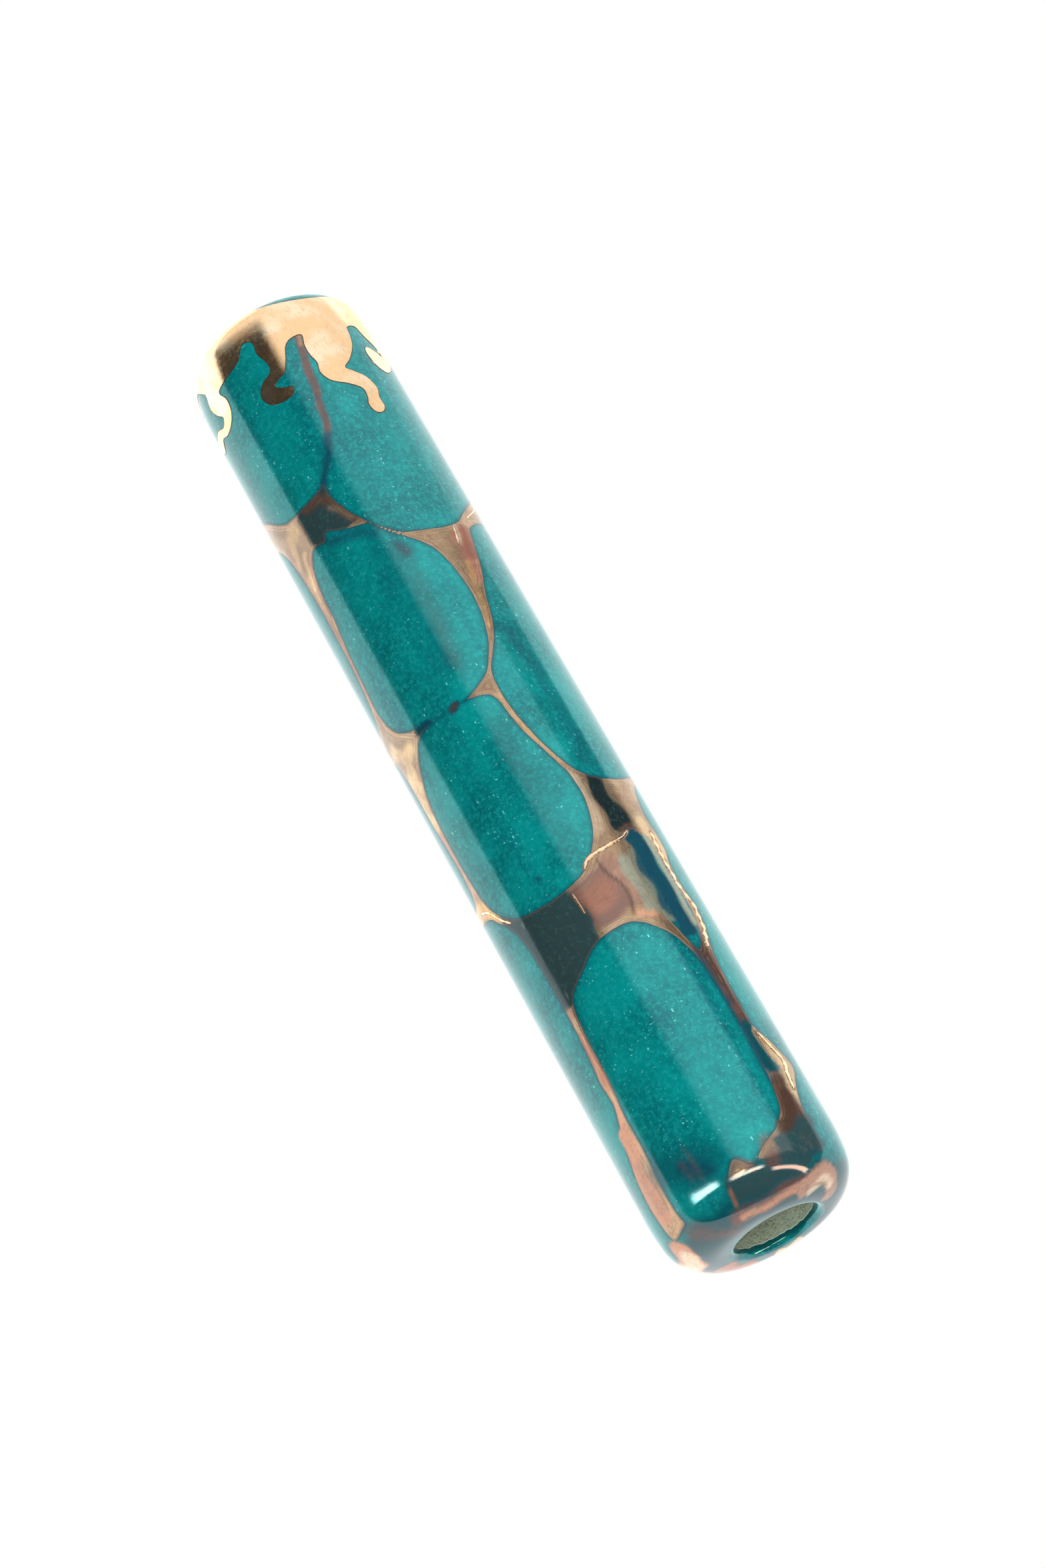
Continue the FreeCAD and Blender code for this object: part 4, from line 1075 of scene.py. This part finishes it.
def make_gold(material):
    flat, faces, lower = gold_sheet()
    outer = on_upper(flat[:, 0], flat[:, 1], FILM * 0.9)
    inner = on_upper(flat[:, 0], flat[:, 1], -FILM * 0.1)
    count = len(flat)
    pairs = {}
    for face in faces.tolist():
        for start, stop in zip(face, face[1:] + face[:1]):
            pairs[(start, stop)] = True
    rims = [(start, stop) for start, stop in pairs if (stop, start) not in pairs]
    solid = faces.tolist() + (faces[:, ::-1] + count).tolist()
    solid += [[stop, start, start + count, stop + count] for start, stop in rims]
    # dark line where the gold's flux stained the glaze, just outside the edge
    step = np.roll(lower, -1, axis=0) - lower
    step[-1] = step[-2]
    step = step + np.roll(step, 1, axis=0)
    step[0] = step[1]
    side = np.stack([step[:, 1], -step[:, 0]], 1) / np.hypot(*step.T)[:, None]
    band = [lower - side * STAIN_UNDER, lower + side * STAIN]
    first = 2 * count
    strip = [on_upper(edge[:, 0], edge[:, 1], FILM * 0.35) for edge in band]
    span = len(lower)
    quads = [[first + i, first + span + i, first + span + i + 1, first + i + 1] for i in range(span - 1)]
    piece = new_piece("gold_film", np.concatenate([outer, inner, *strip]), solid + quads)
    set_attribute(piece, "rim", np.concatenate([np.zeros(2 * count), np.ones(2 * span)]))
    piece.data.set_sharp_from_angle(angle=math.radians(40))
    piece.data.materials.append(material)
    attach(piece, "case")
    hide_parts("gold_cap")
    return piece


def paint(node, material):
    """Gives a CAD node a finished material in every slot."""
    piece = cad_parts[node]
    if not piece.material_slots:
        piece.data.materials.append(material)
    for slot in piece.material_slots:
        slot.material = material


# ---------------------------------------------------------------- studio
FLOOR_DROP = 0.150
FLOOR_REACH = 4.0
# The lights: strength, and the degrees between which each one starts, stops or changes. A turn is
# round the case from its front, positive to the right, and a rise is above the level.
SWEEP_LEFT = 1.60
SWEEP_LEFT_TURN = (-78.5, -76.5)
SWEEP_RIGHT = 1.35
SWEEP_RIGHT_TURN = (103, 106)
PANEL_NEAR = 0.42
PANEL_NEAR_TURN = (-1.5, 0.3)
PANEL_FAR = 0.60
PANEL_FAR_TURN = (0.4, 8)
PANEL_RISE = (-2, 3)
PANEL_LOFT_RISE = (27, 30)
PANEL_END_LOW = (63, 69, 1.0, 0.06)
PANEL_END_LOFT = (62, 72, 1.0, 0.97)
CEILING_RISE = (43, 51)
ROOM = 0.045
STRIP_POWER = 22.0
# The camera: angles, metres, and a lens in millimetres for the usual 36 mm sensor.
VIEW_TILT = math.radians(25.506)
VIEW_ROLL = math.radians(29.541)
VIEW_DISTANCE = 0.39766
VIEW_SHIFT = (0.0017948, 0.0024256)
LENS = 83.41837


def make_camera():
    """The camera in front of the case and below it, rolled so that the case leans to the left."""
    data = bpy.data.cameras.new("camera")
    camera = bpy.data.objects.new("camera", data)
    bpy.context.scene.collection.objects.link(camera)
    forward = Vector((0, math.cos(VIEW_TILT), math.sin(VIEW_TILT)))
    level_up = Vector((0, -math.sin(VIEW_TILT), math.cos(VIEW_TILT)))
    side = Vector((1, 0, 0))
    right = side * math.cos(VIEW_ROLL) - level_up * math.sin(VIEW_ROLL)
    up = side * math.sin(VIEW_ROLL) + level_up * math.cos(VIEW_ROLL)
    middle = AXIS + Vector((0, 0, LENGTH / 2 * MM))
    place = middle - forward * VIEW_DISTANCE + right * VIEW_SHIFT[0] - up * VIEW_SHIFT[1]
    turn = Matrix((right, up, -forward)).transposed().to_4x4()
    camera.matrix_world = Matrix.Translation(place) @ turn
    data.lens = LENS
    data.clip_start = 0.01
    data.clip_end = 50
    bpy.context.scene.camera = camera


def make_floor(material):
    low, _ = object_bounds()
    height = low.z - FLOOR_DROP
    corners = [(x * FLOOR_REACH, y * FLOOR_REACH, height) for x, y in ((-1, -1), (1, -1), (1, 1), (-1, 1))]
    mesh = bpy.data.meshes.new("floor")
    mesh.from_pydata(corners, [], [(0, 1, 2, 3)])
    floor = bpy.data.objects.new("floor", mesh)
    bpy.context.scene.collection.objects.link(floor)
    floor.data.materials.append(material)
    floor.visible_glossy = False
    floor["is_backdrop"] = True


# Low strip lights in front: where each starts and ends round the case, and its elevation there, in
# degrees. All three are straight, and each hangs lower than the one to its left.
STRIPS = (
    (-60, -24, 3, 0),
    (-12, 28, -5, -13),
    (36, 96, -26, -43),
)
STRIP_HALF_HEIGHT = 2.6
STRIP_FADE = 1.6


def panel_light(shader, turn, rise):
    """A soft panel on the right, which reaches further round the case above its middle."""
    near = shader.span(turn, *PANEL_NEAR_TURN, 0.0, PANEL_NEAR)
    panel = shader.plus(near, shader.span(turn, *PANEL_FAR_TURN, 0.0, PANEL_FAR))
    loft = shader.span(rise, *PANEL_LOFT_RISE)
    low = shader.times(shader.span(turn, *PANEL_END_LOW), shader.minus(1.0, loft))
    high = shader.times(shader.span(turn, *PANEL_END_LOFT), loft)
    panel = shader.times(panel, shader.plus(low, high))
    return shader.times(panel, shader.span(rise, *PANEL_RISE))


def strip_light(shader, turn, rise):
    strip = 0.0
    for first, last, first_rise, last_rise in STRIPS:
        fade_out = shader.span(turn, last - 6, last + 2, 1.0, 0.0)
        window = shader.times(shader.span(turn, first - 2, first + 6), fade_out)
        level = shader.span(turn, first, last, first_rise, last_rise, "LINEAR")
        off = shader.math("ABSOLUTE", shader.minus(rise, level))
        glow = shader.span(off, STRIP_HALF_HEIGHT, STRIP_HALF_HEIGHT + STRIP_FADE, 1.0, 0.0)
        strip = shader.plus(strip, shader.times(glow, window))
    return strip


def make_world():
    """A white sweep behind the case, a dim room in front, a soft panel and low strips on the right."""
    world = bpy.data.worlds.new("studio")
    bpy.context.scene.world = world
    world.use_nodes = True
    shader = Shader(world.node_tree)
    way = shader.node("ShaderNodeTexCoord").outputs["Generated"]
    x, y, z = shader.node("ShaderNodeSeparateXYZ", {"Vector": way}).outputs
    degree = 180 / math.pi
    turn = shader.times(shader.math("ARCTAN2", x, shader.times(y, -1.0)), degree)
    rise = shader.times(shader.math("ARCSINE", z), degree)
    light = shader.times(shader.span(turn, *SWEEP_LEFT_TURN, 1.0, 0.0), SWEEP_LEFT)
    right = shader.times(shader.span(turn, *SWEEP_RIGHT_TURN), SWEEP_RIGHT)
    light = shader.math("MAXIMUM", light, right)
    light = shader.math("MAXIMUM", light, panel_light(shader, turn, rise))
    light = shader.math("MAXIMUM", light, shader.span(rise, *CEILING_RISE))
    light = shader.plus(light, ROOM)
    paths = shader.node("ShaderNodeLightPath")
    strip = shader.times(strip_light(shader, turn, rise), paths.outputs["Is Glossy Ray"])
    light = shader.plus(light, shader.times(strip, STRIP_POWER))
    seen = paths.outputs["Is Camera Ray"]
    light = shader.plus(shader.times(light, shader.minus(1.0, seen)), seen)
    peach = shader.mix(shader.span(turn, -30, -10), (1.0, 0.92, 0.86), (1.0, 0.74, 0.58))
    peach = shader.mix(shader.span(turn, 28, 40), peach, (1.0, 0.52, 0.36))
    warm = shader.mix(strip, (1.0, 1.0, 1.0), peach)
    back = shader.node("ShaderNodeBackground", {"Color": warm, "Strength": light})
    output = shader.node("ShaderNodeOutputWorld")
    world.node_tree.links.new(back.outputs[0], output.inputs["Surface"])


def make_light(name, kind, place, power, size):
    """A soft light that brightens the matte colours and leaves no reflection of itself."""
    data = bpy.data.lights.new(name, kind)
    data.energy = power
    if kind == "SUN":
        data.angle = size
    else:
        data.shape = "SQUARE"
        data.size = size
    light = bpy.data.objects.new(name, data)
    bpy.context.scene.collection.objects.link(light)
    light.location = place
    light.rotation_mode = "QUATERNION"
    light.rotation_quaternion = (AXIS - Vector(place)).to_track_quat("-Z", "Y")
    light.visible_glossy = False


def main():
    make_camera()
    make_world()
    make_light("front_fill", "SUN", (0.50, -0.62, 0.25), 2.6, math.radians(30))
    make_light("mouth_fill", "AREA", (-0.10, -0.30, -0.19), 0.5, 0.15)
    gold = gold_material()
    make_glaze(glaze_material())
    make_gold(gold)
    make_threads(gold)
    clay = clay_material()
    paint("ceramic_tube", clay)
    paint("end_disc", clay)
    paint("parchment_scroll", parchment_material())
    paint("scroll_sleeve", film_material())
    paint("stopper", cork_material())
    paint("mounting_strip", foam_material())
    make_floor(floor_material())
    bpy.context.scene.view_settings.view_transform = "Standard"


main()
